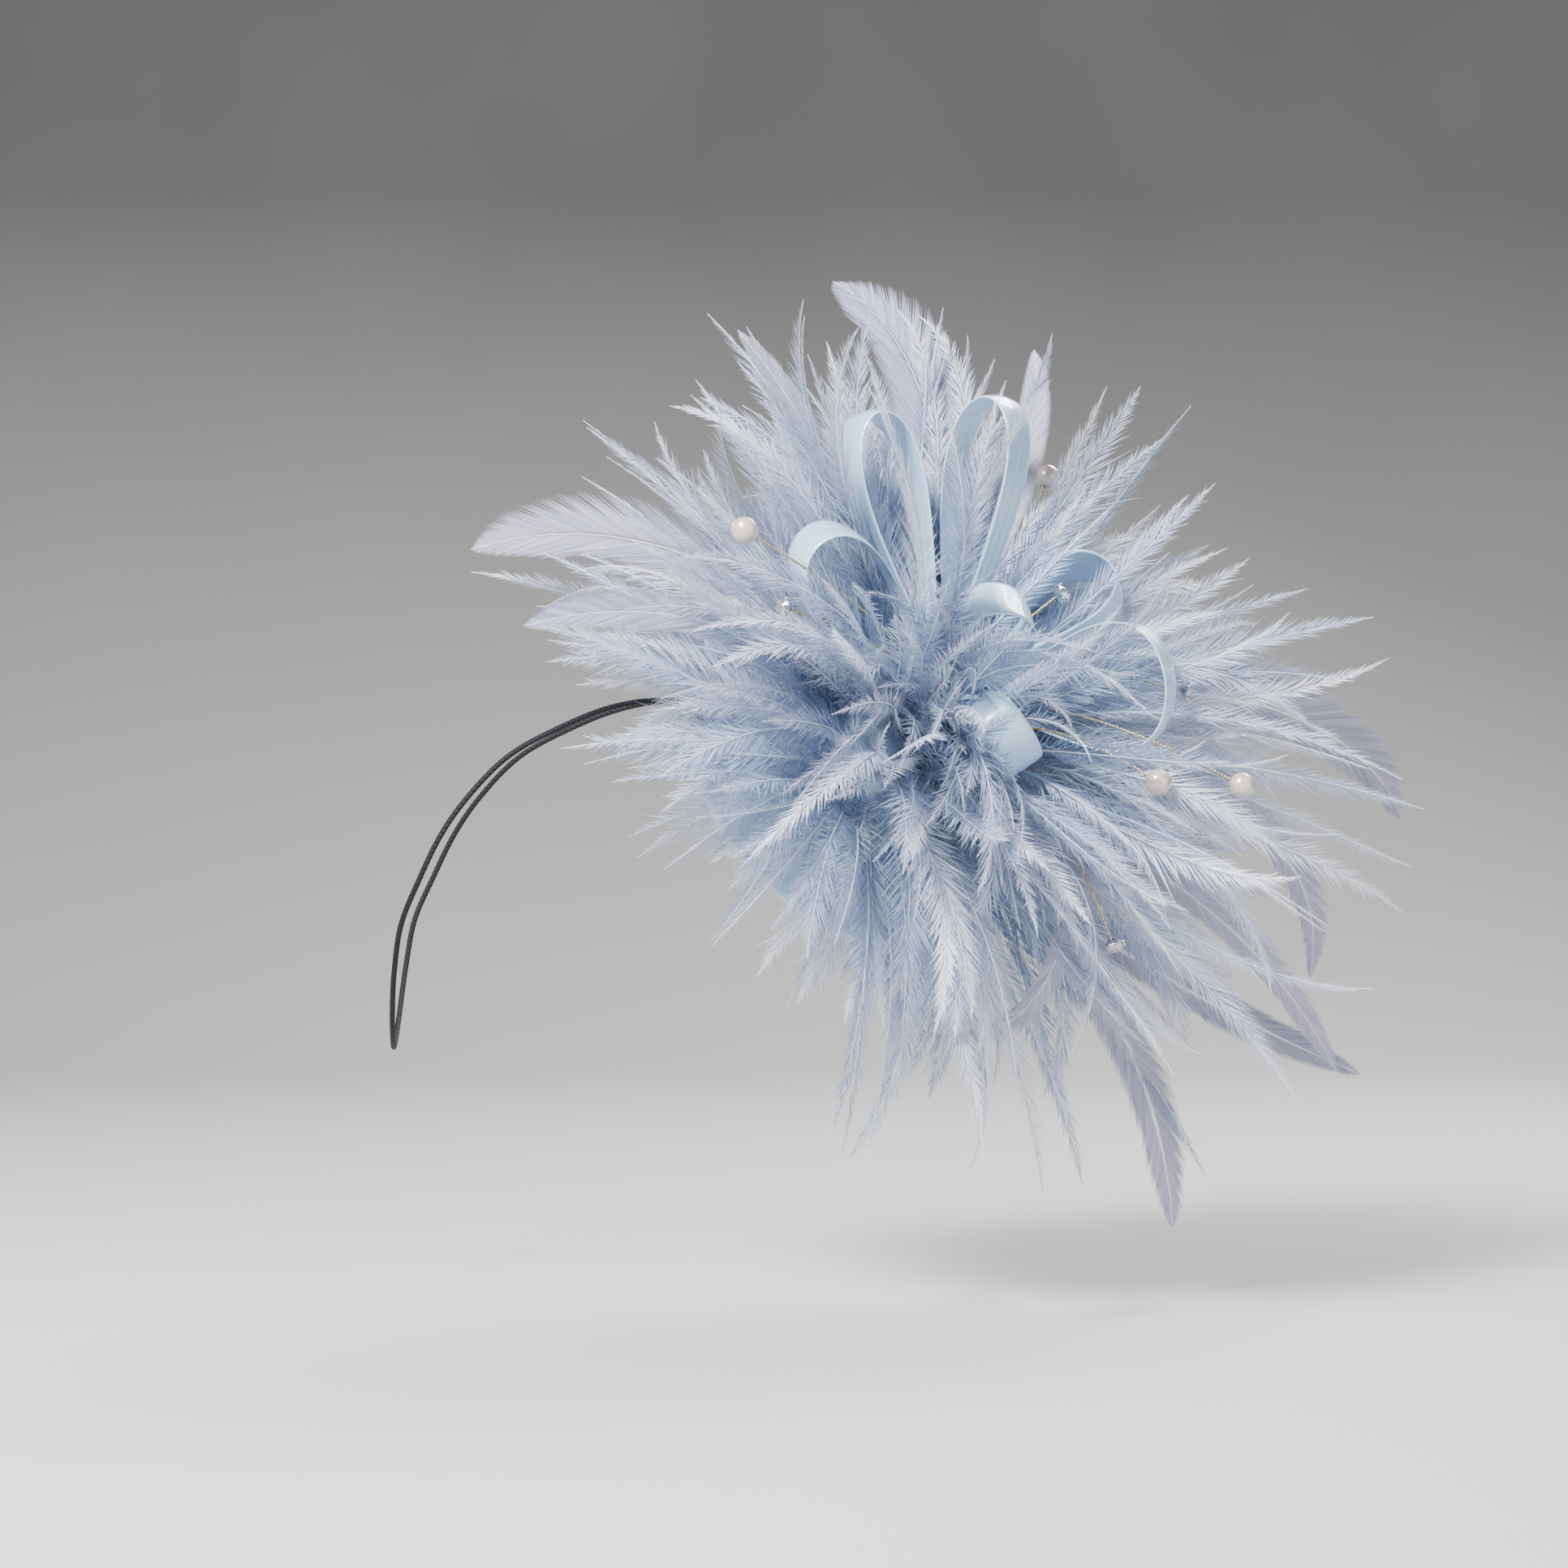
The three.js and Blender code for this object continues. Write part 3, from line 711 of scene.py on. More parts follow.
def skin(name, rings, material, around=True, capped=True):
    """A skin over rings of points, with a UV map: across from 0 to 1, and along in metres."""
    count = len(rings[0])
    points = [point for ring in rings for point in ring]
    lengths = [0.0]
    for before, after in zip(rings, rings[1:]):
        step = (sum(after, Vector()) - sum(before, Vector())).length / count
        lengths.append(lengths[-1] + max(step, 1e-6))
    sides = count if around else count - 1
    faces, corners = [], []
    for i in range(len(rings) - 1):
        for j in range(sides):
            low, next_low = i * count + j, i * count + (j + 1) % count
            faces.append((low, next_low, next_low + count, low + count))
            u, v = j / sides, (j + 1) / sides
            corners.extend(((u, lengths[i]), (v, lengths[i]), (v, lengths[i + 1]), (u, lengths[i + 1])))
    if around and capped:
        last = (len(rings) - 1) * count
        faces.append(tuple(reversed(range(count))))
        faces.append(tuple(range(last, last + count)))
        corners.extend([(0.5, lengths[0])] * count + [(0.5, lengths[-1])] * count)
    thing = mesh_object(name, points, faces, material)
    layer = thing.data.uv_layers.new(name="UVMap")
    layer.data.foreach_set("uv", [x for corner in corners for x in corner])
    return smooth(thing)


def turned(name, profile, sides, material, base=Vector(), axis=UP, hollow=False):
    """A shape turned on an axis in the bloom, from its radii and heights in millimetres. The
    profile of a hollow one, such as a rim, ends where it starts."""
    turn = UP.rotation_difference(axis)
    rings = [
        [to_row(base + turn @ place(radius, 360 * k / sides, height)) for k in range(sides)]
        for radius, height in profile]
    return outward(skin(name, rings, material, capped=not hollow), welded=hollow)


def arc_points(centre, radius, start, end, steps):
    """Radii and heights of an arc in a profile, its angles in degrees."""
    angles = [math.radians(start + (end - start) * i / steps) for i in range(steps + 1)]
    return [(centre[0] + radius * math.cos(a), centre[1] + radius * math.sin(a)) for a in angles]


# The thread round the bound heads, the ribbons' knots and the core: turns, steps in each, and
# how far a turn swells
HEAD_THREAD = (22, 3, 0.25)
KNOT_THREAD = (9, 4, 0.16)
CORE_THREAD = (34, 4, 0.28)


def windings(turns, steps, depth):
    """The share of the way and the swell at each step over turns of thread laid side by side."""
    for i in range(turns * steps + 1):
        share = i / (turns * steps)
        yield share, depth * math.cos(FULL_TURN * turns * share)


def add_piece(thing, node, slot):
    """Parents a finished piece to the root empty, and hides its solid in its place."""
    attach(thing, "root")
    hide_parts(node)
    return thing


# The course of each feather

STATIONS = 24
# The solids' scatter: its steps, which of them a measure takes, and how many numbers are kept
# for a bunch and for a tier
SCATTER_STEPS = (0.8191725134, 0.6710436067, 0.5497004779)
OWN_STEPS = dict(place=0, roll=0, rise=1, length=1, fall=2, width=2)
BUNCH_NUMBERS = 14
TIER_NUMBERS = 4


def own_measure(name, n):
    """A measure of one of the solids' own hackles, scattered evenly over its range."""
    low, high = OWN[name]
    return low + (high - low) * (((n + 1) * SCATTER_STEPS[OWN_STEPS[name]]) % 1.0)


def quill_course(row):
    """The point, direction and side of a feather at each station along it, in the bloom."""
    step = row["length"] / STATIONS
    spot = place(HEAD_INNER + HEAD_WALL / 3, row["azimuth"], row["foot"])
    course = []
    for i in range(STATIONS + 1):
        share = i / STATIONS
        azimuth = row["azimuth"] + row["sway"] * share
        lift = row["rise"] + (row["fall"] - row["rise"]) * share + row["curl"] * share ** 3
        along = heading(azimuth, lift)
        if i:
            spot = spot + (along + before).normalized() * step
        before = along
        roll = math.radians(row["roll"] + row["twist"] * share)
        course.append((spot, along, Quaternion(along, roll) @ place(1, azimuth + 90, 0)))
    return course


def own_rows(tiers, bunch, index):
    """Rows of feathers as the solid has them, tier by tier, over a bunch's share of the round."""
    rows = []
    for level, tier in enumerate(tiers):
        reach = HACKLE_LENGTH * bunch["reach"] * tier["reach"]
        for i in range(tier["count"]):
            n = index * BUNCH_NUMBERS + level * TIER_NUMBERS + i
            offset = (i + own_measure("place", n)) * SPAN / tier["count"] - SPAN / 2
            rows.append(dict(
                azimuth=index * SPAN + offset,
                foot=CORE_FOOT + tier["seat"] * BUNCH_HEIGHT,
                rise=tier["rise"] + bunch["lift"] + own_measure("rise", n),
                fall=tier["fall"] + bunch["lift"] + own_measure("fall", n),
                length=reach * own_measure("length", n),
                width=HACKLE_WIDTH * tier["width"] * own_measure("width", n),
                roll=own_measure("roll", n), goose=0.0, steady=1.0))
    return rows


def fill_rows(bunch, index, draw):
    """Softer feathers between those of the solid, less even in place, bend and size."""
    rows = []
    for tier in FILLS:
        lift = bunch["lift"] * tier["lifted"]
        reach = HACKLE_LENGTH * bunch["reach"] * tier["reach"]
        wide = HACKLE_WIDTH * tier["width"]
        for i in range(tier["count"]):
            offset = (i + draw.uniform(*FILL["place"])) * SPAN / tier["count"] - SPAN / 2
            slim = draw.random() < LONG_SHARE
            seat = min(HIGHEST_SEAT, tier["seat"] + draw.uniform(*FILL["seat"]))
            rows.append(dict(
                azimuth=index * SPAN + offset,
                foot=CORE_FOOT + BUNCH_HEIGHT * seat,
                rise=tier["rise"] + lift + draw.uniform(*FILL["rise"]),
                fall=tier["fall"] + lift + draw.uniform(*FILL["fall"]),
                length=reach * draw.uniform(*(LONG_LENGTH if slim else FILL["length"])),
                width=wide * draw.uniform(*FILL["width"]) * (LONG_WIDTH if slim else 1),
                roll=draw.uniform(*FILL["roll"]), goose=0.0, steady=0.0))
    return rows


def of_bunch(rows, index):
    """The rows of a table whose azimuth lies in a bunch's share of the round."""
    return [row for row in rows if round(row["azimuth"] / SPAN) % BUNCH_COUNT == index]


def goose_rows(index):
    return [
        dict(row, foot=CORE_FOOT + row["seat"] * BUNCH_HEIGHT,
             length=GOOSE_LENGTH * row["length"], width=GOOSE_WIDTH * row["width"],
             goose=1.0, steady=1.0)
        for row in of_bunch(GOOSE, index)]


def veil_rows(index, draw):
    return [
        dict(row, foot=BUNCH_TOP - 1, length=HACKLE_LENGTH * row["reach"],
             width=HACKLE_WIDTH * row["width"], roll=draw.uniform(*VEIL_ROLL),
             goose=0.0, steady=0.0)
        for row in of_bunch(VEILS, index)]


def bunch_rows(bunch, index):
    """Every feather of a bunch: its solid's own, the softer ones between, and the goose."""
    draw = random.Random(SEED + index)
    own = own_rows((*TIERS, dict(CREST, count=bunch["crest"])), bunch, index)
    rows = own + fill_rows(bunch, index, draw) + goose_rows(index) + veil_rows(index, draw)
    for row in rows:
        bend = STEADY if row["steady"] else SOFT
        row.setdefault("sway", bend["sway"] * draw.uniform(-1, 1))
        row["curl"] = bend["curl"] * draw.uniform(-1, 1)
        row["twist"] = bend["twist"] * draw.uniform(-1, 1)
        row["tone"] = draw.random()
        row["seed"] = draw.random()
    return rows


# The outline and barbs of each feather

# Shares of the feather's length where its vane starts, is full and begins to narrow, the share
# of its width that it starts with, how hollow its shoulder is and how blunt and fine its tip,
# and the angle between quill and barbs at the root and at the tip
HACKLE_VANE, GOOSE_VANE = table(
    "start full narrows shoulder hollow blunt fine root_lean tip_lean",
    (0.0, 0.3, 0.5, 0.25, 1.0, 2.0, 0.9, 41, 18),
    (0.06, 0.5, 0.7, 0.1, 1.3, 2.6, 0.7, 32, 16),
)
QUILL_ROOT = 0.44
QUILL_TIP = 0.09
# A barb's length is found by halving the range up to this many widths of the vane
LONGEST_BARB = 4
HALVINGS = 14


def vane_of(row):
    return GOOSE_VANE if row["goose"] else HACKLE_VANE


def outline(vane, share):
    """Half the vane's width at a share of the feather, as a share of its widest."""
    if share >= 1:
        return 0.0
    risen = max(0.0, share - vane["start"]) / (vane["full"] - vane["start"])
    shoulder = min(1.0, vane["shoulder"] + (1 - vane["shoulder"]) * risen) ** vane["hollow"]
    narrowed = max(0.0, (share - vane["narrows"]) / (1 - vane["narrows"])) ** vane["blunt"]
    return shoulder * (1 - narrowed) ** vane["fine"]


def lean_at(vane, share):
    """The angle between quill and barbs, in degrees."""
    return vane["root_lean"] + (vane["tip_lean"] - vane["root_lean"]) * share


def barb_length(row, share):
    """How long a barb that leaves the quill here is, so that it ends on the vane's outline."""
    vane = vane_of(row)
    angle = math.radians(lean_at(vane, share))
    low, high = 0.0, LONGEST_BARB * row["width"]
    for _ in range(HALVINGS):
        middle = (low + high) / 2
        end = share + middle * math.cos(angle) / row["length"]
        if middle * math.sin(angle) < row["width"] / 2 * outline(vane, end):
            low = middle
        else:
            high = middle
    return low


# Room for the base, the ribbons and the jewels

TRIMS = ("base", "ribbon_loop", "pearl", "crystal")
# Shifts of a feather's azimuth and lift, tried in turn until it passes the trims
WAYS_ROUND = (
    (0, 0), (0, -7), (6, 0), (-6, 0), (0, 8), (0, -14), (8, -8), (-8, -8), (12, 4), (-12, 4),
    (0, -24), (10, -18), (-10, -18), (0, -34), (0, 16), (0, 24),
)
TRIM_ROOM = 0.9
VANE_TESTS = (-0.4, 0, 0.4)
# A barb is tested at shares of its length, and ends a step before the one that meets a trim
BARB_ROOM = 0.6
BARB_TESTS = (0.3, 0.5, 0.7, 0.85, 1.0)
BARB_STEP = 0.25
# Over the base, barbs are shorter than this share of their height above it
BARB_DROP = 0.75
# The feathers leave a narrow three-sided way free before each jewel, towards the wearer's side
NEAR_SIDE = Vector((0, 0.85, 0.53))
WAY_LENGTH = 34
WAY_HALF = 2.4


def jewel_spot(row):
    return place(HACKLE_LENGTH * row["reach"], row["azimuth"], HACKLE_LENGTH * row["height"])


def trim_tree():
    """A search tree over the base, ribbons, jewels and the ways before them."""
    points, faces = [], []
    for name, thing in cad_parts.items():
        if name.startswith(TRIMS):
            first = len(points)
            points.extend(v.co.copy() for v in thing.data.vertices)
            faces.extend([first + k for k in p.vertices] for p in thing.data.polygons)
    turn = UP.rotation_difference(NEAR_SIDE)
    corners = [turn @ place(WAY_HALF, 120 * k, 0) for k in range(3)]
    for row in (*PEARLS, *CRYSTALS):
        first, spot = len(points), jewel_spot(row)
        for away in (0, WAY_LENGTH):
            points.extend(to_row(spot + NEAR_SIDE * away + corner) for corner in corners)
        faces.extend([first + k, first + (k + 1) % 3, first + 3 + (k + 1) % 3, first + 3 + k]
                     for k in range(3))
    return BVHTree.FromPolygons(points, faces)


def meets(trims, point, room):
    """Whether a trim comes nearer to a point of the bloom than the room it should have."""
    return trims.find_nearest(to_row(point), room * MM)[0] is not None


def passes_trims(row, trims):
    """Whether the quill and the inner part of the vane stay clear of the trims."""
    for i, (point, _, edge) in enumerate(row["course"]):
        half = row["width"] * outline(vane_of(row), i / STATIONS) / 2
        if any(meets(trims, point + edge * half * aside, TRIM_ROOM) for aside in VANE_TESTS):
            return False
    return True


def cleared(row, trims):
    """The feather with its azimuth and lift shifted until it passes the trims, or None."""
    for turn, lift in WAYS_ROUND:
        moved = dict(row, azimuth=row["azimuth"] + turn, rise=row["rise"] + lift,
                     fall=row["fall"] + lift)
        moved["course"] = quill_course(moved)
        if passes_trims(moved, trims):
            return moved
    return None


def above_base(point):
    """How far a point is above the top of the base's dome."""
    return (point + UP * BASE_CURVE).length - BASE_CURVE - BASE_WALL


def free_barb(row, i, hand, trims):
    """A barb's length at a station, shortened where it would meet the base, a ribbon or a jewel."""
    point, along, edge = row["course"][i]
    share = i / STATIONS
    length = barb_length(row, share)
    if math.hypot(point.x, point.y) < BASE_RADIUS:
        length = min(length, BARB_DROP * above_base(point))
    lean = math.radians(lean_at(vane_of(row), share))
    aim = along * math.cos(lean) + edge * (hand * math.sin(lean))
    for part in BARB_TESTS:
        if meets(trims, point + aim * length * part, BARB_ROOM):
            return length * max(0.0, part - BARB_STEP)
    return length


def quill_lines(name, rows, trims):
    """The quills of a bunch as lines of points that carry what the barbs need."""
    points, edges, sides, facts = [], [], [], []
    for row in rows:
        start = len(points)
        edges.extend((start + i, start + i + 1) for i in range(STATIONS))
        for i, (point, _, edge) in enumerate(row["course"]):
            share = i / STATIONS
            points.append(to_row(point))
            sides.extend(BLOOM @ edge)
            facts.append(dict(
                share=share, tone=row["tone"], goose=row["goose"], seed=row["seed"],
                soft=1 - row["steady"], lean=lean_at(vane_of(row), share),
                barb_right=free_barb(row, i, 1, trims) * MM,
                barb_left=free_barb(row, i, -1, trims) * MM,
                quill=MM * (QUILL_ROOT + (QUILL_TIP - QUILL_ROOT) * share ** 0.7)))
    lines = mesh_object(name, points, [], edges=edges)
    for fact in facts[0]:
        attribute = lines.data.attributes.new(fact, "FLOAT", "POINT")
        attribute.data.foreach_set("value", [station[fact] for station in facts])
    lines.data.attributes.new("side", "FLOAT_VECTOR", "POINT").data.foreach_set("vector", sides)
    return lines


# The feathers' geometry nodes: lengths in metres, angles in degrees, and shares
FEATHER_SIZES = {
    "Barb Spacing": 0.00084,
    "Barb Width": 0.00052,
    "Barb Flatness": 0.3,
    "Barb Curl": 0.12,
    "Goose Widening": 1.2,
    "Locks": 10.0,
    "Lock Pull": 9.0,
    "Splits": 3.3,
    "Split Pull": 4.0,
    "Down Reach": 0.36,
    "Down Scatter": 24.0,
    "Hackle Scatter": 3.0,
    "Soft Scatter": 3.5,
    "Goose Scatter": 0.3,
    "Least Lean": 6.0,
    "Shortest Barb": 0.0004,
}
QUILL_SIDES = 5
QUILL_STATIONS = 18


def barb_blade(net):
    """One blade with a point at each end and three corners between, from 0 to 1 along Z."""
    ball = net.node("GeometryNodeMeshUVSphere", {}, {"Segments": 3, "Rings": 2, "Radius": 0.5})
    x, y, z = net.arrow("GeometryNodeInputPosition").parts()
    rise = (z + 0.5).at_least(0.0) ** 1.4
    blade = net.node("GeometryNodeSetPosition", {}, {0: ball, "Position": net.vector(x, y, rise)})
    return net.stored(blade, "along_barb", rise)


def barb_side(net, quills, blade, hand):
    """The barbs on one side of the quills, each with its own lean, cup, length and bow."""
    size, fact = net.size, net.fact
    sign, picks = (1.0, -1.0)[hand], 10 * hand
    share, goose, seed, soft = fact("share"), fact("goose"), fact("seed"), fact("soft")
    hackle = 1.0 - goose
    tangent = net.tangent()
    normal = tangent.cross(net.arrow_fact("side")).normalized()
    side = normal.cross(tangent).normalized()

    # Hackles part in locks, goose feathers split here and there, and the root is loose down
    lock = (share * size("Locks") + seed * 7.0 + hand * 0.37).fract()
    split = (share * size("Splits") + seed * 5.0 + hand * 0.5).fract()
    down = ((size("Down Reach") - share) * 3.0).at_least(0.0).at_most(1.0) * hackle
    pull = (0.5 - lock) * size("Lock Pull") * 2.0 * hackle
    pull = pull + (0.5 - split) * size("Split Pull") * goose
    unruly = (size("Hackle Scatter") + size("Soft Scatter") * soft) * hackle
    unruly = size("Goose Scatter") * goose + unruly + size("Down Scatter") * down
    wild = net.chance(-1.0, 1.0, picks + 1) * unruly
    angle = (fact("lean") + pull + wild).at_least(size("Least Lean")) * math.radians(1)
    cup = (seed - 0.5) * 0.5 * hackle + net.chance(-0.16, 0.16, picks + 2) * hackle
    cup = cup + net.chance(-0.6, 0.6, picks + 3) * down - 0.05
    aim = (tangent * angle.cosine() + side * (angle.sine() * sign) + normal * cup).normalized()
    forward = normal.cross(aim) * (-sign)
    turn = net.node("FunctionNodeAxesToRotation", dict(primary_axis="Z", secondary_axis="X"), {
        0: aim, 1: forward})

    # Barbs are longest in the middle of a lock, and a few stray past the outline
    peak = 1.0 - (lock - 0.5).absolute() * 0.5 * hackle
    stray = net.chance(0.0, 1.0, picks + 7).over(0.95) * 0.4
    ragged = 1.0 - net.chance(0.0, 0.35, picks + 4) * hackle + (down * 0.35 + stray) * soft
    reach = fact(("barb_right", "barb_left")[hand]) * peak * ragged
    slim = 0.55 + 0.45 * (reach * 120.0).at_most(1.0)
    wide = size("Barb Width") * (1.0 + size("Goose Widening") * goose) * slim
    placed = net.node("GeometryNodeInstanceOnPoints", {}, {
        "Points": quills, "Selection": share.over(0.03) * reach.over(size("Shortest Barb")),
        "Instance": blade, "Rotation": turn,
        "Scale": net.vector(wide, wide * size("Barb Flatness"), reach)})
    bow = forward * (reach * size("Barb Curl") * (-1.0))
    bow = bow + normal * (reach * net.chance(-0.05, 0.1, picks + 6))
    toned = net.stored(placed, "barb_tone", net.chance(0.0, 1.0, picks + 5), "INSTANCE")
    return net.stored(toned, "bow", bow, "INSTANCE")


def feather_tree():
    """Geometry nodes that set slim barbs along both sides of each quill."""
    net = MakerNet("feather_barbs", FEATHER_SIZES, ("Barb Material", "Quill Material"))
    paths = net.paths()
    fine = net.stepped(paths, "Barb Spacing")
    blade = barb_blade(net)
    real = net.realized(net.joined(*(barb_side(net, fine, blade, hand) for hand in range(2))))
    along = net.fact("along_barb")
    arc = along * (1.0 - along) * 4.0
    curled = net.node("GeometryNodeSetPosition", {}, {
        0: real, "Offset": net.arrow_fact("bow") * arc})

    ring = net.node("GeometryNodeCurvePrimitiveCircle", {}, {
        "Resolution": QUILL_SIDES, "Radius": 1.0})
    coarse = net.node("GeometryNodeResampleCurve", dict(mode="COUNT"), {
        "Curve": paths, "Count": QUILL_STATIONS})
    tubes = net.node("GeometryNodeCurveToMesh", {}, {
        "Curve": coarse, "Profile Curve": ring, "Scale": net.fact("quill"), "Fill Caps": True})
    quills, barbs = net.coated(tubes, "Quill Material"), net.coated(curled, "Barb Material")
    return net.finished(net.joined(quills, barbs))


# A bound head lies inside its slice of the ring by these sizes, and its ends are tucked in
HEAD_ROOM_INSIDE = 0.4
HEAD_ROOM_OUTSIDE = 0.5
HEAD_ROOM_ANGLE = 0.6
HEAD_TUCK = 1.6
HEAD_STEPS = 6


def bunch_head(index):
    """The bound quills of a bunch: a slice of a ring, wound round with thread."""
    half = SPAN / 2 - HEAD_ROOM_ANGLE
    angles = [half - 2 * half * k / HEAD_STEPS for k in range(HEAD_STEPS + 1)]
    rings = []
    for share, swell in windings(*HEAD_THREAD):
        tuck = HEAD_TUCK * (2 * share - 1) ** 8
        inner = HEAD_INNER + HEAD_ROOM_INSIDE + tuck
        outer = HEAD_OUTER - HEAD_ROOM_OUTSIDE - tuck + swell
        height = CORE_FOOT + BUNCH_HEIGHT * share
        rings.append([
            to_row(place(radius, index * SPAN + way * angle, height))
            for radius, way in ((inner, 1), (outer, -1)) for angle in angles])
    return outward(skin(BUNCHES[index]["name"] + "_head", rings, MATERIALS["binding"]))


def dress_bunches():
    tree = feather_tree()
    trims = trim_tree()
    for index, bunch in enumerate(BUNCHES):
        rows = [cleared(row, trims) for row in bunch_rows(bunch, index)]
        lines = quill_lines(bunch["name"] + "_plume", [row for row in rows if row], trims)
        feathers = made_by(tree, lines, {
            "Barb Material": MATERIALS["feather"], "Quill Material": MATERIALS["quill"]})
        whole = joined_pieces(bunch["name"] + "_feathers", [feathers, bunch_head(index)])
        add_piece(whole, bunch["name"], "feather")


# Ribbon

RIBBON_WALL = 0.4
RIBBON_RINGS = 72
RIBBON_START = 0.0002
RIBBON_CORDS = 12
RIBBON_SEAT = 0.7
LEG_GAP = 0.9
PLEATS = 3
PLEAT_DEPTH = 1.0
CUP_DEPTH = 0.5
RIPPLE_DEPTH = 0.25
KNOT_HOLE = 1.2
KNOT_WAIST = 2.3
KNOT_BULGE = 0.25


def ribbon_foot(row):
    return place(RIBBON_ROOT * CORE_RADIUS, row["root"], CORE_TOP + FIT_GAP)


def ribbon_ring(row, angle):
    """The points across a ribbon loop at an angle round its teardrop."""
    out = heading(row["azimuth"], row["lift"])
    level = place(1, row["azimuth"] + 90, 0)
    across = Quaternion(out, math.radians(row["turn"])) @ level
    bulge = out.cross(across)
    length, full = RIBBON_LENGTH * row["length"], RIBBON_FULLNESS * row["fullness"]
    start = ribbon_foot(row) + UP * RIBBON_KNOT * RIBBON_SEAT
    far = length * (1 - math.cos(angle)) / 2
    side = full * math.sin(angle) * (1 - math.cos(angle)) / 2 + LEG_GAP * math.cos(angle / 2)
    along = out * (length * math.sin(angle) / 2) + bulge * (
        full * (math.cos(angle) - math.cos(2 * angle)) / 2 - LEG_GAP / 2 * math.sin(angle / 2))
    face = along.normalized().cross(across)
    spread = math.sin(angle / 2) ** RIBBON_OPENING
    half = (RIBBON_GATHER + (RIBBON_WIDTH - RIBBON_GATHER) * spread) / 2
    middle = start + out * far + bulge * side
    ring = []
    for k in range(RIBBON_CORDS + 1):
        u = 2 * k / RIBBON_CORDS - 1
        pleat = PLEAT_DEPTH * (1 - spread) ** 1.5 * math.cos(PLEATS * math.pi * u + row["root"])
        ripple = RIPPLE_DEPTH * math.sin(3 * angle + 2.2 * u + row["root"])
        cup = CUP_DEPTH * spread * (1 - u * u) + ripple
        ring.append(to_row(middle + across * half * u + face * (pleat + cup * spread)))
    return ring


def ribbon_band(name, rings):
    """A ribbon with the thickness of satin, about the middle of its wall."""
    band = skin(name, rings, MATERIALS["satin"], around=False)
    wall = band.modifiers.new("wall", "SOLIDIFY")
    wall.thickness = RIBBON_WALL * MM
    wall.offset = 0
    return band


def ribbon_knot(name, foot):
    """Thread wound round the gathered ends of a ribbon."""
    profile = [(KNOT_HOLE, 0.0)]
    for share, swell in windings(*KNOT_THREAD):
        radius = KNOT_WAIST + KNOT_BULGE * math.sin(math.pi * share) + swell
        profile.append((radius, RIBBON_KNOT * share))
    profile.append((KNOT_HOLE, RIBBON_KNOT))
    return turned(name, profile, 20, MATERIALS["binding"], foot)


def dress_ribbons():
    for number, row in enumerate(RIBBONS, 1):
        name = f"ribbon_loop_{number}"
        rings = []
        for i in range(RIBBON_RINGS + 1):
            share = min(max(i / RIBBON_RINGS, RIBBON_START), 1 - RIBBON_START)
            rings.append(ribbon_ring(row, FULL_TURN * share))
        flat_length = sum((sum(after, Vector()) - sum(before, Vector())).length / len(before)
                          for before, after in zip(rings, rings[1:]))
        band = ribbon_band(name + "_band", rings)
        knot = ribbon_knot(name + "_knot", ribbon_foot(row))
        add_piece(band, name, "ribbon")
        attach(knot, "root")


# Pearls, stones and the wires that carry them

STEM_STEPS = 40
PEARL_HOLE = 0.5
PEARL_HOLD = 0.8
WIRE_SIZES = {
    "Step": 0.0005,
    "Strand Radius": 0.0002,
    "Strand Offset": 0.00021,
    "Turns per Metre": 420.0,
}
# The brilliant's corners, tier by tier from its table down to its culet
FACETS = table(
    "radius height count shift",
    (STONE_TABLE, STONE_CROWN, 8, 0),
    (2.45, 0.82, 8, 22.5),
    (STONE_RADIUS, 0.22, 16, 0),
    (STONE_RADIUS, 0.0, 16, 0),
    (1.55, -1.0, 8, 22.5),
    (0.12, -STONE_PAVILION, 8, 0),
)
# A prong's course from the cup to over the stone's edge
PRONG = table(
    "past_edge height thick",
    (0.25, -0.9, 0.42),
    (0.32, -0.1, 0.42),
    (0.25, 0.4, 0.4),
    (-0.1, 0.75, 0.36),
    (-0.55, 0.95, 0.22),
)
PRONG_COUNT = 4
PRONG_SIDES = 10
CUP_CENTRE = 0.0001


def stem_course(row, back):
    """A jewel's place, the direction it faces, and the points of its wire, in the bloom."""
    if row["root"] is None:
        foot = UP * (CORE_TOP + FIT_GAP)
    else:
        foot = place(STEM_ROOT, row["root"], BUNCH_TOP + FIT_GAP)
    head = jewel_spot(row)
    knee = foot + UP * STEM_RISE
    toward = (head - knee).normalized()
    end = head - toward * back
    shares = [i / STEM_STEPS for i in range(STEM_STEPS + 1)]
    return head, toward, [
        foot * (1 - t) ** 2 + knee * 2 * t * (1 - t) + end * t * t for t in shares]


def wire_tree():
    """Geometry nodes that twist two strands of wire along a path."""
    net = MakerNet("twisted_wire", WIRE_SIZES, ("Wire Material",))
    fine = net.stepped(net.paths(), "Step")
    normal = net.arrow("GeometryNodeInputNormal")
    aside = net.tangent().cross(normal)
    run = net.value("GeometryNodeSplineParameter", key="Length")
    ring = net.node("GeometryNodeCurvePrimitiveCircle", {}, {
        "Resolution": 7, "Radius": net.size("Strand Radius")})
    strands = []
    for strand in range(2):
        phase = run * net.size("Turns per Metre") * FULL_TURN + strand * math.pi
        offset = normal * (phase.cosine() * net.size("Strand Offset"))
        offset = offset + aside * (phase.sine() * net.size("Strand Offset"))
        moved = net.node("GeometryNodeSetPosition", {}, {0: fine, "Offset": offset})
        strands.append(net.node("GeometryNodeCurveToMesh", {}, {
            "Curve": moved, "Profile Curve": ring, "Fill Caps": True}))
    return net.finished(net.coated(net.realized(net.joined(*strands)), "Wire Material"))


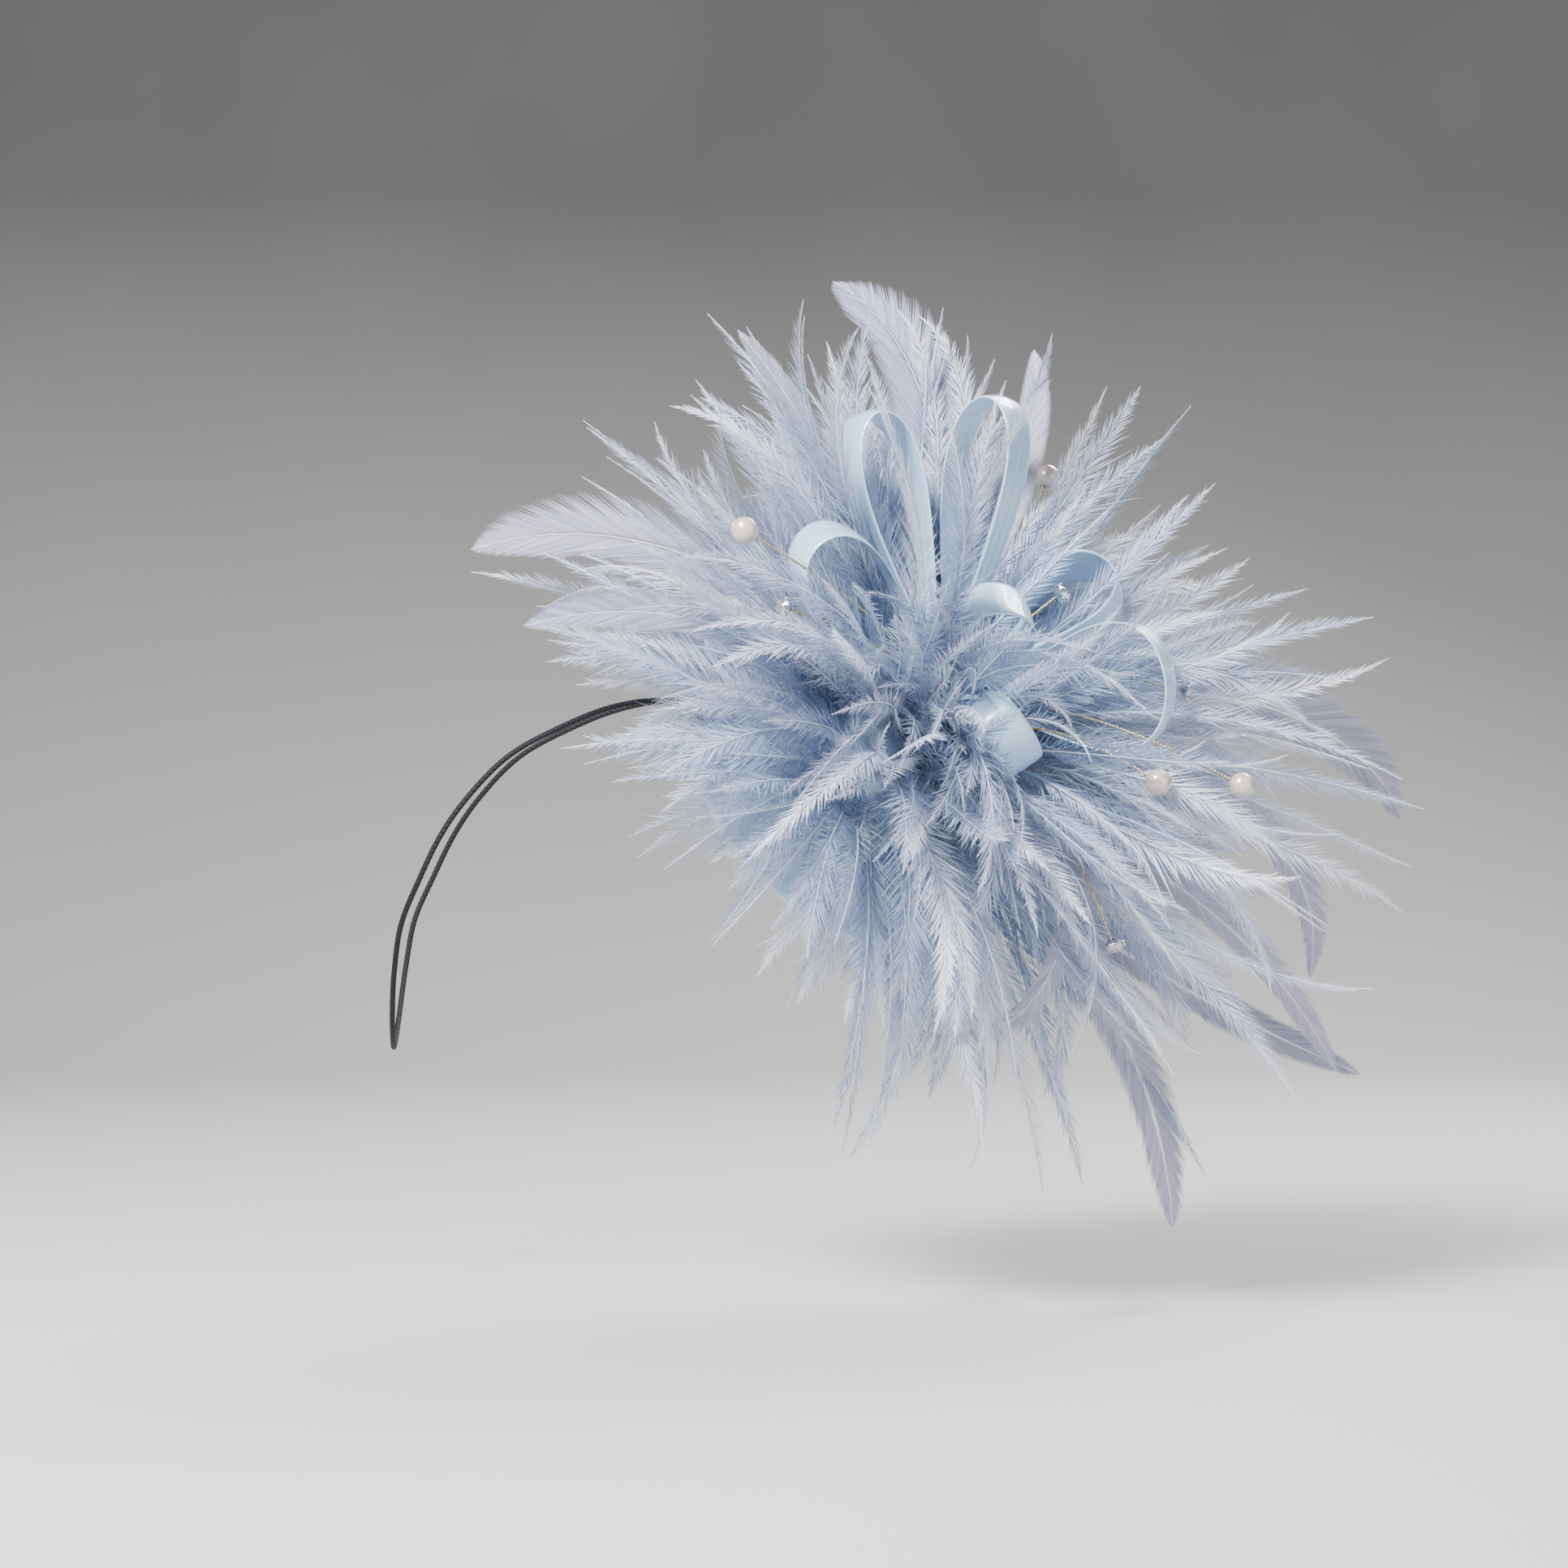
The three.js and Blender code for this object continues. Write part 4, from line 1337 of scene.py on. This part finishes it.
def pearl(name, head, toward):
    """A drilled pearl, a touch flatter at its hole."""
    tilt = math.degrees(math.acos(PEARL_HOLE / PEARL_RADIUS))
    coat = arc_points((0, 0), PEARL_RADIUS, -tilt, tilt, 40)
    profile = [(PEARL_HOLE, -1.0), *coat, (PEARL_HOLE, 1.0)]
    return turned(name, profile, 48, MATERIALS["pearl"], head, toward)


def stone(name, head, toward):
    """A brilliant: table, star, main and girdle facets over a pavilion with a culet."""
    turn = UP.rotation_difference(toward)
    body = bmesh.new()
    for tier in FACETS:
        for k in range(tier["count"]):
            spot = place(tier["radius"], 360 * k / tier["count"] + tier["shift"], tier["height"])
            body.verts.new(to_row(head + turn @ spot))
    hull = bmesh.ops.convex_hull(body, input=body.verts)
    bmesh.ops.delete(body, geom=hull["geom_interior"], context="VERTS")
    bmesh.ops.recalc_face_normals(body, faces=body.faces)
    mesh = bpy.data.meshes.new(name)
    body.to_mesh(mesh)
    body.free()
    mesh.materials.append(MATERIALS["stone"])
    return added(name, mesh)


def prong(name, azimuth, head, turn):
    """One prong, from the side of the cup to over the stone's edge."""
    aside = place(1, azimuth + 90, 0)
    up = place(-0.4, azimuth, 1).normalized()
    out = aside.cross(up)
    angles = [FULL_TURN * i / PRONG_SIDES for i in range(PRONG_SIDES)]
    rings = []
    for row in PRONG:
        middle = place(STONE_RADIUS + row["past_edge"], azimuth, row["height"])
        rings.append([
            to_row(head + turn @ (middle + (aside * math.cos(a) + out * math.sin(a)) * row["thick"]))
            for a in angles])
    return outward(skin(name, rings, MATERIALS["silver"]))


def setting(name, head, toward):
    """A silver cup round the stone's pavilion, with prongs over its edge."""
    rim = STONE_RADIUS + SETTING_WALL
    profile = [
        (CUP_CENTRE, -STONE_PAVILION - 0.3), (1.4, -STONE_PAVILION - 0.3), (rim, -0.25),
        (rim, 0.05), (STONE_RADIUS + 0.12, 0.05), (STONE_RADIUS + 0.06, -0.2),
        (1.3, -STONE_PAVILION - 0.05), (CUP_CENTRE, -STONE_PAVILION - 0.05),
    ]
    cup = turned(name, profile, 40, MATERIALS["silver"], head, toward)
    turn = UP.rotation_difference(toward)
    azimuths = [(k + 0.5) * 360 / PRONG_COUNT for k in range(PRONG_COUNT)]
    return [cup, *(prong(name, azimuth, head, turn) for azimuth in azimuths)]


def set_stone(name, head, toward):
    """A stone joined to its setting."""
    return joined_pieces(name + "_set", [stone(name, head, toward), *setting(name, head, toward)])


def dress_jewels():
    wire = wire_tree()
    jewels = [("pearl", number, row) for number, row in enumerate(PEARLS, 1)]
    jewels += [("crystal", number, row) for number, row in enumerate(CRYSTALS, 1)]
    for kind, number, row in jewels:
        name = f"{kind}_{number}"
        if kind == "pearl":
            head, toward, course = stem_course(row, PEARL_RADIUS - PEARL_HOLD)
            jewel = pearl(name + "_bead", head, toward)
        else:
            head, toward, course = stem_course(row, STONE_PAVILION)
            jewel = set_stone(name, head, toward)
        add_piece(jewel, name, kind)
        lines = mesh_object(f"{kind}_stem_{number}_wire", [to_row(p) for p in course], [],
                            edges=[(i, i + 1) for i in range(STEM_STEPS)])
        strands = smooth(made_by(wire, lines, {"Wire Material": MATERIALS["gold"]}))
        add_piece(strands, f"{kind}_stem_{number}", "wire")


# Base and core

BASE_SIDES = 112
AXIS_RADIUS = 0.05
RIM_RADIUS = 1.5
RIM_INSET = 0.4
EYELET_HOLE = 1.475
COLLAR_REACH = 1.95
COLLAR_RADIUS = 0.42
STITCH_SIZES = {"Stitch Step": 0.0042, "Stitch Length": 0.0028, "Thread Radius": 0.0003}
STITCH_POINTS = 96
STITCH_INSET = 3.2
STITCH_HEIGHT = 0.1
INNER_STITCHES = 24
CORE_ROOM = 0.3
CORE_TUCK = 1.2
TOP_COILS = 20
TOP_REACH = CORE_RADIUS - CORE_ROOM - CORE_TUCK
COIL_DEPTH = 0.15


def on_base(reach, azimuth, height):
    """A point over the dome of the base, by the distance along it and above its underside."""
    tilt = reach / BASE_CURVE
    radius = BASE_CURVE + height
    return place(radius * math.sin(tilt), azimuth, radius * math.cos(tilt) - BASE_CURVE)


def over_eyelet(azimuth, height):
    """A point over an eyelet, at a height above the base's underside, and the way out there."""
    spot = on_base(BASE_CURVE * math.asin(EYELET_REACH / BASE_CURVE), azimuth, height)
    return spot, (spot + UP * BASE_CURVE).normalized()


def stitch_tree():
    """Geometry nodes that lay a stitch at even steps along each path."""
    net = MakerNet("stitches", STITCH_SIZES, ("Thread Material",))
    grain = net.node("GeometryNodeMeshUVSphere", {}, {"Segments": 8, "Rings": 6, "Radius": 1.0})
    turn = net.node("FunctionNodeAlignRotationToVector", dict(axis="Z"), {
        "Vector": net.tangent()})
    thread = net.size("Thread Radius")
    laid = net.node("GeometryNodeInstanceOnPoints", {}, {
        "Points": net.stepped(net.paths(), "Stitch Step"), "Instance": grain, "Rotation": turn,
        "Scale": net.vector(thread, thread, net.size("Stitch Length") * 0.5)})
    return net.finished(net.coated(net.realized(laid), "Thread Material"))


def base_disc(edge):
    """The domed disc, with a hole for each eyelet."""
    steps = 24
    profile = []
    for height, order in ((0, range(steps + 1)), (BASE_WALL, range(steps, -1, -1))):
        for i in order:
            spot = on_base(max(AXIS_RADIUS, edge * i / steps), 0, height)
            profile.append((spot.x, spot.z))
    disc = turned("base_cloth_disc", profile, BASE_SIDES, MATERIALS["base"])
    punches = []
    for azimuth in EYELET_AZIMUTHS:
        punch = turned("punch", [(EYELET_HOLE, -4), (EYELET_HOLE, 4)], 24, None,
                       *over_eyelet(azimuth, BASE_WALL / 2))
        hole = disc.modifiers.new("eyelet", "BOOLEAN")
        hole.object = punch
        hole.operation = "DIFFERENCE"
        punches.append(punch)
    cut = smooth(plain(disc))
    for punch in punches:
        bpy.data.objects.remove(punch)
    return cut


def base_stitches(edge):
    """Two rows of stitches by the rim, above and below, and one in the middle of the underside."""
    points, edges = [], []
    inset, above = edge - STITCH_INSET, BASE_WALL + STITCH_HEIGHT
    for reach, height in (
            (inset, above), (inset, -STITCH_HEIGHT), (INNER_STITCHES, -STITCH_HEIGHT)):
        first, count = len(points), STITCH_POINTS
        points.extend(to_row(on_base(reach, 360 * k / count, height)) for k in range(count))
        edges.extend((first + k, first + (k + 1) % count) for k in range(count))
    rows = mesh_object("stitches", points, [], edges=edges)
    return smooth(made_by(stitch_tree(), rows, {"Thread Material": MATERIALS["binding"]}))


def dress_base():
    """The domed disc with its bound rim, its eyelets' collars and its stitches."""
    edge = BASE_CURVE * math.asin(BASE_RADIUS / BASE_CURVE)
    rim_spot = on_base(edge, 0, BASE_WALL / 2)
    rim = arc_points((rim_spot.x - RIM_INSET, rim_spot.z), RIM_RADIUS, -180, 180, 16)
    things = [base_disc(edge), turned("rim", rim, BASE_SIDES, MATERIALS["base"], hollow=True)]
    collar = arc_points((COLLAR_REACH, -0.05), COLLAR_RADIUS, -180, 180, 10)
    for azimuth in EYELET_AZIMUTHS:
        things.append(turned("collar", collar, 28, MATERIALS["binding"],
                             *over_eyelet(azimuth, BASE_WALL), hollow=True))
    things.append(base_stitches(edge))
    add_piece(joined_pieces("base_disc", things), "base", "base_cloth")


def dress_core():
    """The core: quills bound round with thread, closed with a wound top."""
    profile = [(AXIS_RADIUS, 0.0), (CORE_RADIUS - CORE_TUCK, 0.0)]
    for share, swell in windings(*CORE_THREAD):
        tuck = CORE_TUCK * abs(2 * share - 1) ** 12
        profile.append((CORE_RADIUS - CORE_ROOM - tuck + swell, CORE_HEIGHT * share))
    for i in range(TOP_COILS):
        radius = TOP_REACH * (1 - (i + 1) / TOP_COILS) + AXIS_RADIUS
        profile.append((radius, CORE_HEIGHT - COIL_DEPTH * (i % 2)))
    core = turned("stem_core_binding", profile, 48, MATERIALS["binding"], UP * CORE_FOOT)
    add_piece(core, "stem_core", "binding")


# Elastic

ELASTIC_STEP = 0.9
ELASTIC_RIBS = 0.03
KNOT_CORD = 0.75
KNOT_STEPS = 60
KNOT_SCALE = 0.52


def blend(first, second, start, end, t):
    """The point between two others, at t on the way from start to end."""
    return first * ((end - t) / (end - start)) + second * ((t - start) / (end - start))


def elastic_course():
    """The elastic's centreline: a smooth curve through the points of its route."""
    route = [Vector(p) * MM for p in ELASTIC_ROUTE]
    route = [route[0] * 2 - route[1], *route, route[-1] * 2 - route[-2]]
    line = []
    for p0, p1, p2, p3 in zip(route, route[1:], route[2:], route[3:]):
        t1 = (p1 - p0).length ** 0.5
        t2 = t1 + (p2 - p1).length ** 0.5
        t3 = t2 + (p3 - p2).length ** 0.5
        steps = max(3, round((p2 - p1).length / (ELASTIC_STEP * MM)))
        for i in range(steps):
            t = t1 + (t2 - t1) * i / steps
            a1, a2, a3 = blend(p0, p1, 0, t1, t), blend(p1, p2, t1, t2, t), blend(p2, p3, t2, t3, t)
            line.append(blend(blend(a1, a2, 0, t2, t), blend(a2, a3, t1, t3, t), t1, t2, t))
    line.append(route[-2])
    return line


def sweep(name, line, radius, sides, material, ribs=0.0):
    """A round tube along a line, turned as little as it can be, with slight ribs for a braid."""
    along = (line[1] - line[0]).normalized()
    side = along.orthogonal().normalized()
    rings = []
    for i, spot in enumerate(line):
        ahead = (line[min(i + 1, len(line) - 1)] - line[max(i - 1, 0)]).normalized()
        side = along.rotation_difference(ahead) @ side
        side = (side - ahead * side.dot(ahead)).normalized()
        along = ahead
        other = along.cross(side)
        ring = []
        for k in range(sides):
            turn = FULL_TURN * k / sides
            swell = 1 + ribs * math.cos(math.pi * (k + i))
            ring.append(spot + (side * math.cos(turn) + other * math.sin(turn)) * radius * swell)
        rings.append(ring)
    return outward(skin(name, rings, material))


def knot_line(azimuth):
    """A small overhand knot on top of the base, where the elastic ends."""
    middle, _ = over_eyelet(azimuth, BASE_WALL + FIT_GAP + KNOT_RADIUS)
    line = []
    for i in range(KNOT_STEPS):
        t = FULL_TURN * i / KNOT_STEPS
        spot = Vector((math.sin(t) + 2 * math.sin(2 * t), math.cos(t) - 2 * math.cos(2 * t),
                       -1.3 * math.sin(3 * t)))
        line.append(to_row(middle + spot * KNOT_SCALE))
    return line


def dress_elastic():
    line = elastic_course()
    length = sum((b - a).length for a, b in zip(line, line[1:]))
    cord = sweep("elastic_cord", line, ELASTIC_RADIUS * MM, 12, MATERIALS["elastic"], ELASTIC_RIBS)
    for number, azimuth in enumerate(EYELET_AZIMUTHS, 1):
        name = f"elastic_knot_{number}"
        knot = sweep(name + "_tied", knot_line(azimuth), KNOT_CORD * MM, 10, MATERIALS["elastic"])
        add_piece(knot, name, "elastic")
    add_piece(cord, "elastic_loop", "elastic")
    line[::3] + line[-1:]


# Camera, light and floor

LAMPS = table(
    "name spot power width",
    ("key", (-0.42, -0.68, 0.78), 42, 0.3),
    ("fill", (0.9, -0.75, 0.1), 5, 0.8),
    ("rim", (0.5, 0.7, 0.8), 22, 0.5),
)
WORLD_STRENGTH = 0.24
FLOOR_DROP = 0.02
FLOOR_HALF = 3.0
FLOOR_FRONT = -2.5
FLOOR_BACK = 1.6
SWEEP_RADIUS = 0.6
SWEEP_STEPS = 12


def camera():
    eye = added("camera", bpy.data.cameras.new("camera"))
    eye.data.lens = LENS
    eye.data.sensor_width = SENSOR
    eye.location = AIM - Vector((0, FRAME_WIDTH * LENS / SENSOR, 0))
    eye.rotation_euler = (math.pi / 2, 0, 0)
    bpy.context.scene.camera = eye


def lights():
    world = bpy.data.worlds.new("studio")
    bpy.context.scene.world = world
    world.use_nodes = True
    ground = world.node_tree.nodes["Background"]
    ground.inputs["Color"].default_value = colour(0.80, 0.83, 0.88)
    ground.inputs["Strength"].default_value = WORLD_STRENGTH
    for row in LAMPS:
        lamp = bpy.data.lights.new(row["name"], "AREA")
        lamp.energy = row["power"]
        lamp.size = row["width"]
        thing = added(row["name"], lamp)
        thing.location = row["spot"]
        thing.rotation_euler = (-Vector(row["spot"])).to_track_quat("-Z", "Y").to_euler()


def pale_floor(net, low):
    """Matt grey paper, with painted shade that darkens it up the backdrop."""
    spot = net.spot()
    # Painted shade: the paper goes from pale at the floor to dark grey up the backdrop, in place of
    # light that falls off
    rise = ((spot.parts()[2] - low) * 1.8).at_least(0.0).at_most(1.0)
    tone = net.mix(rise, colour(0.56, 0.55, 0.54), colour(0.13, 0.125, 0.125))
    mottled = net.mix(net.noise(spot, 6.0) * 0.08, tone, colour(0.70, 0.69, 0.68))
    return net.surface({"Base Color": mottled, "Roughness": 0.9})


def floor():
    """A pale sweep: a floor that rises behind into a backdrop."""
    low = cad_low.z - FLOOR_DROP
    line = [(FLOOR_FRONT, low)]
    for i in range(SWEEP_STEPS + 1):
        angle = math.pi / 2 * i / SWEEP_STEPS
        line.append((FLOOR_BACK - SWEEP_RADIUS * (1 - math.sin(angle)),
                     low + SWEEP_RADIUS * (1 - math.cos(angle))))
    line.append((FLOOR_BACK, low + FLOOR_HALF))
    points = [(x, y, z) for y, z in line for x in (-FLOOR_HALF, FLOOR_HALF)]
    faces = [(2 * i, 2 * i + 1, 2 * i + 3, 2 * i + 2) for i in range(len(line) - 1)]
    paper = new_material("pale_floor", pale_floor, low)
    smooth(mesh_object("floor", points, faces, paper))


camera()
dress_elastic()
lights()
floor()
dress_base()
dress_core()
dress_ribbons()
dress_jewels()
dress_bunches()
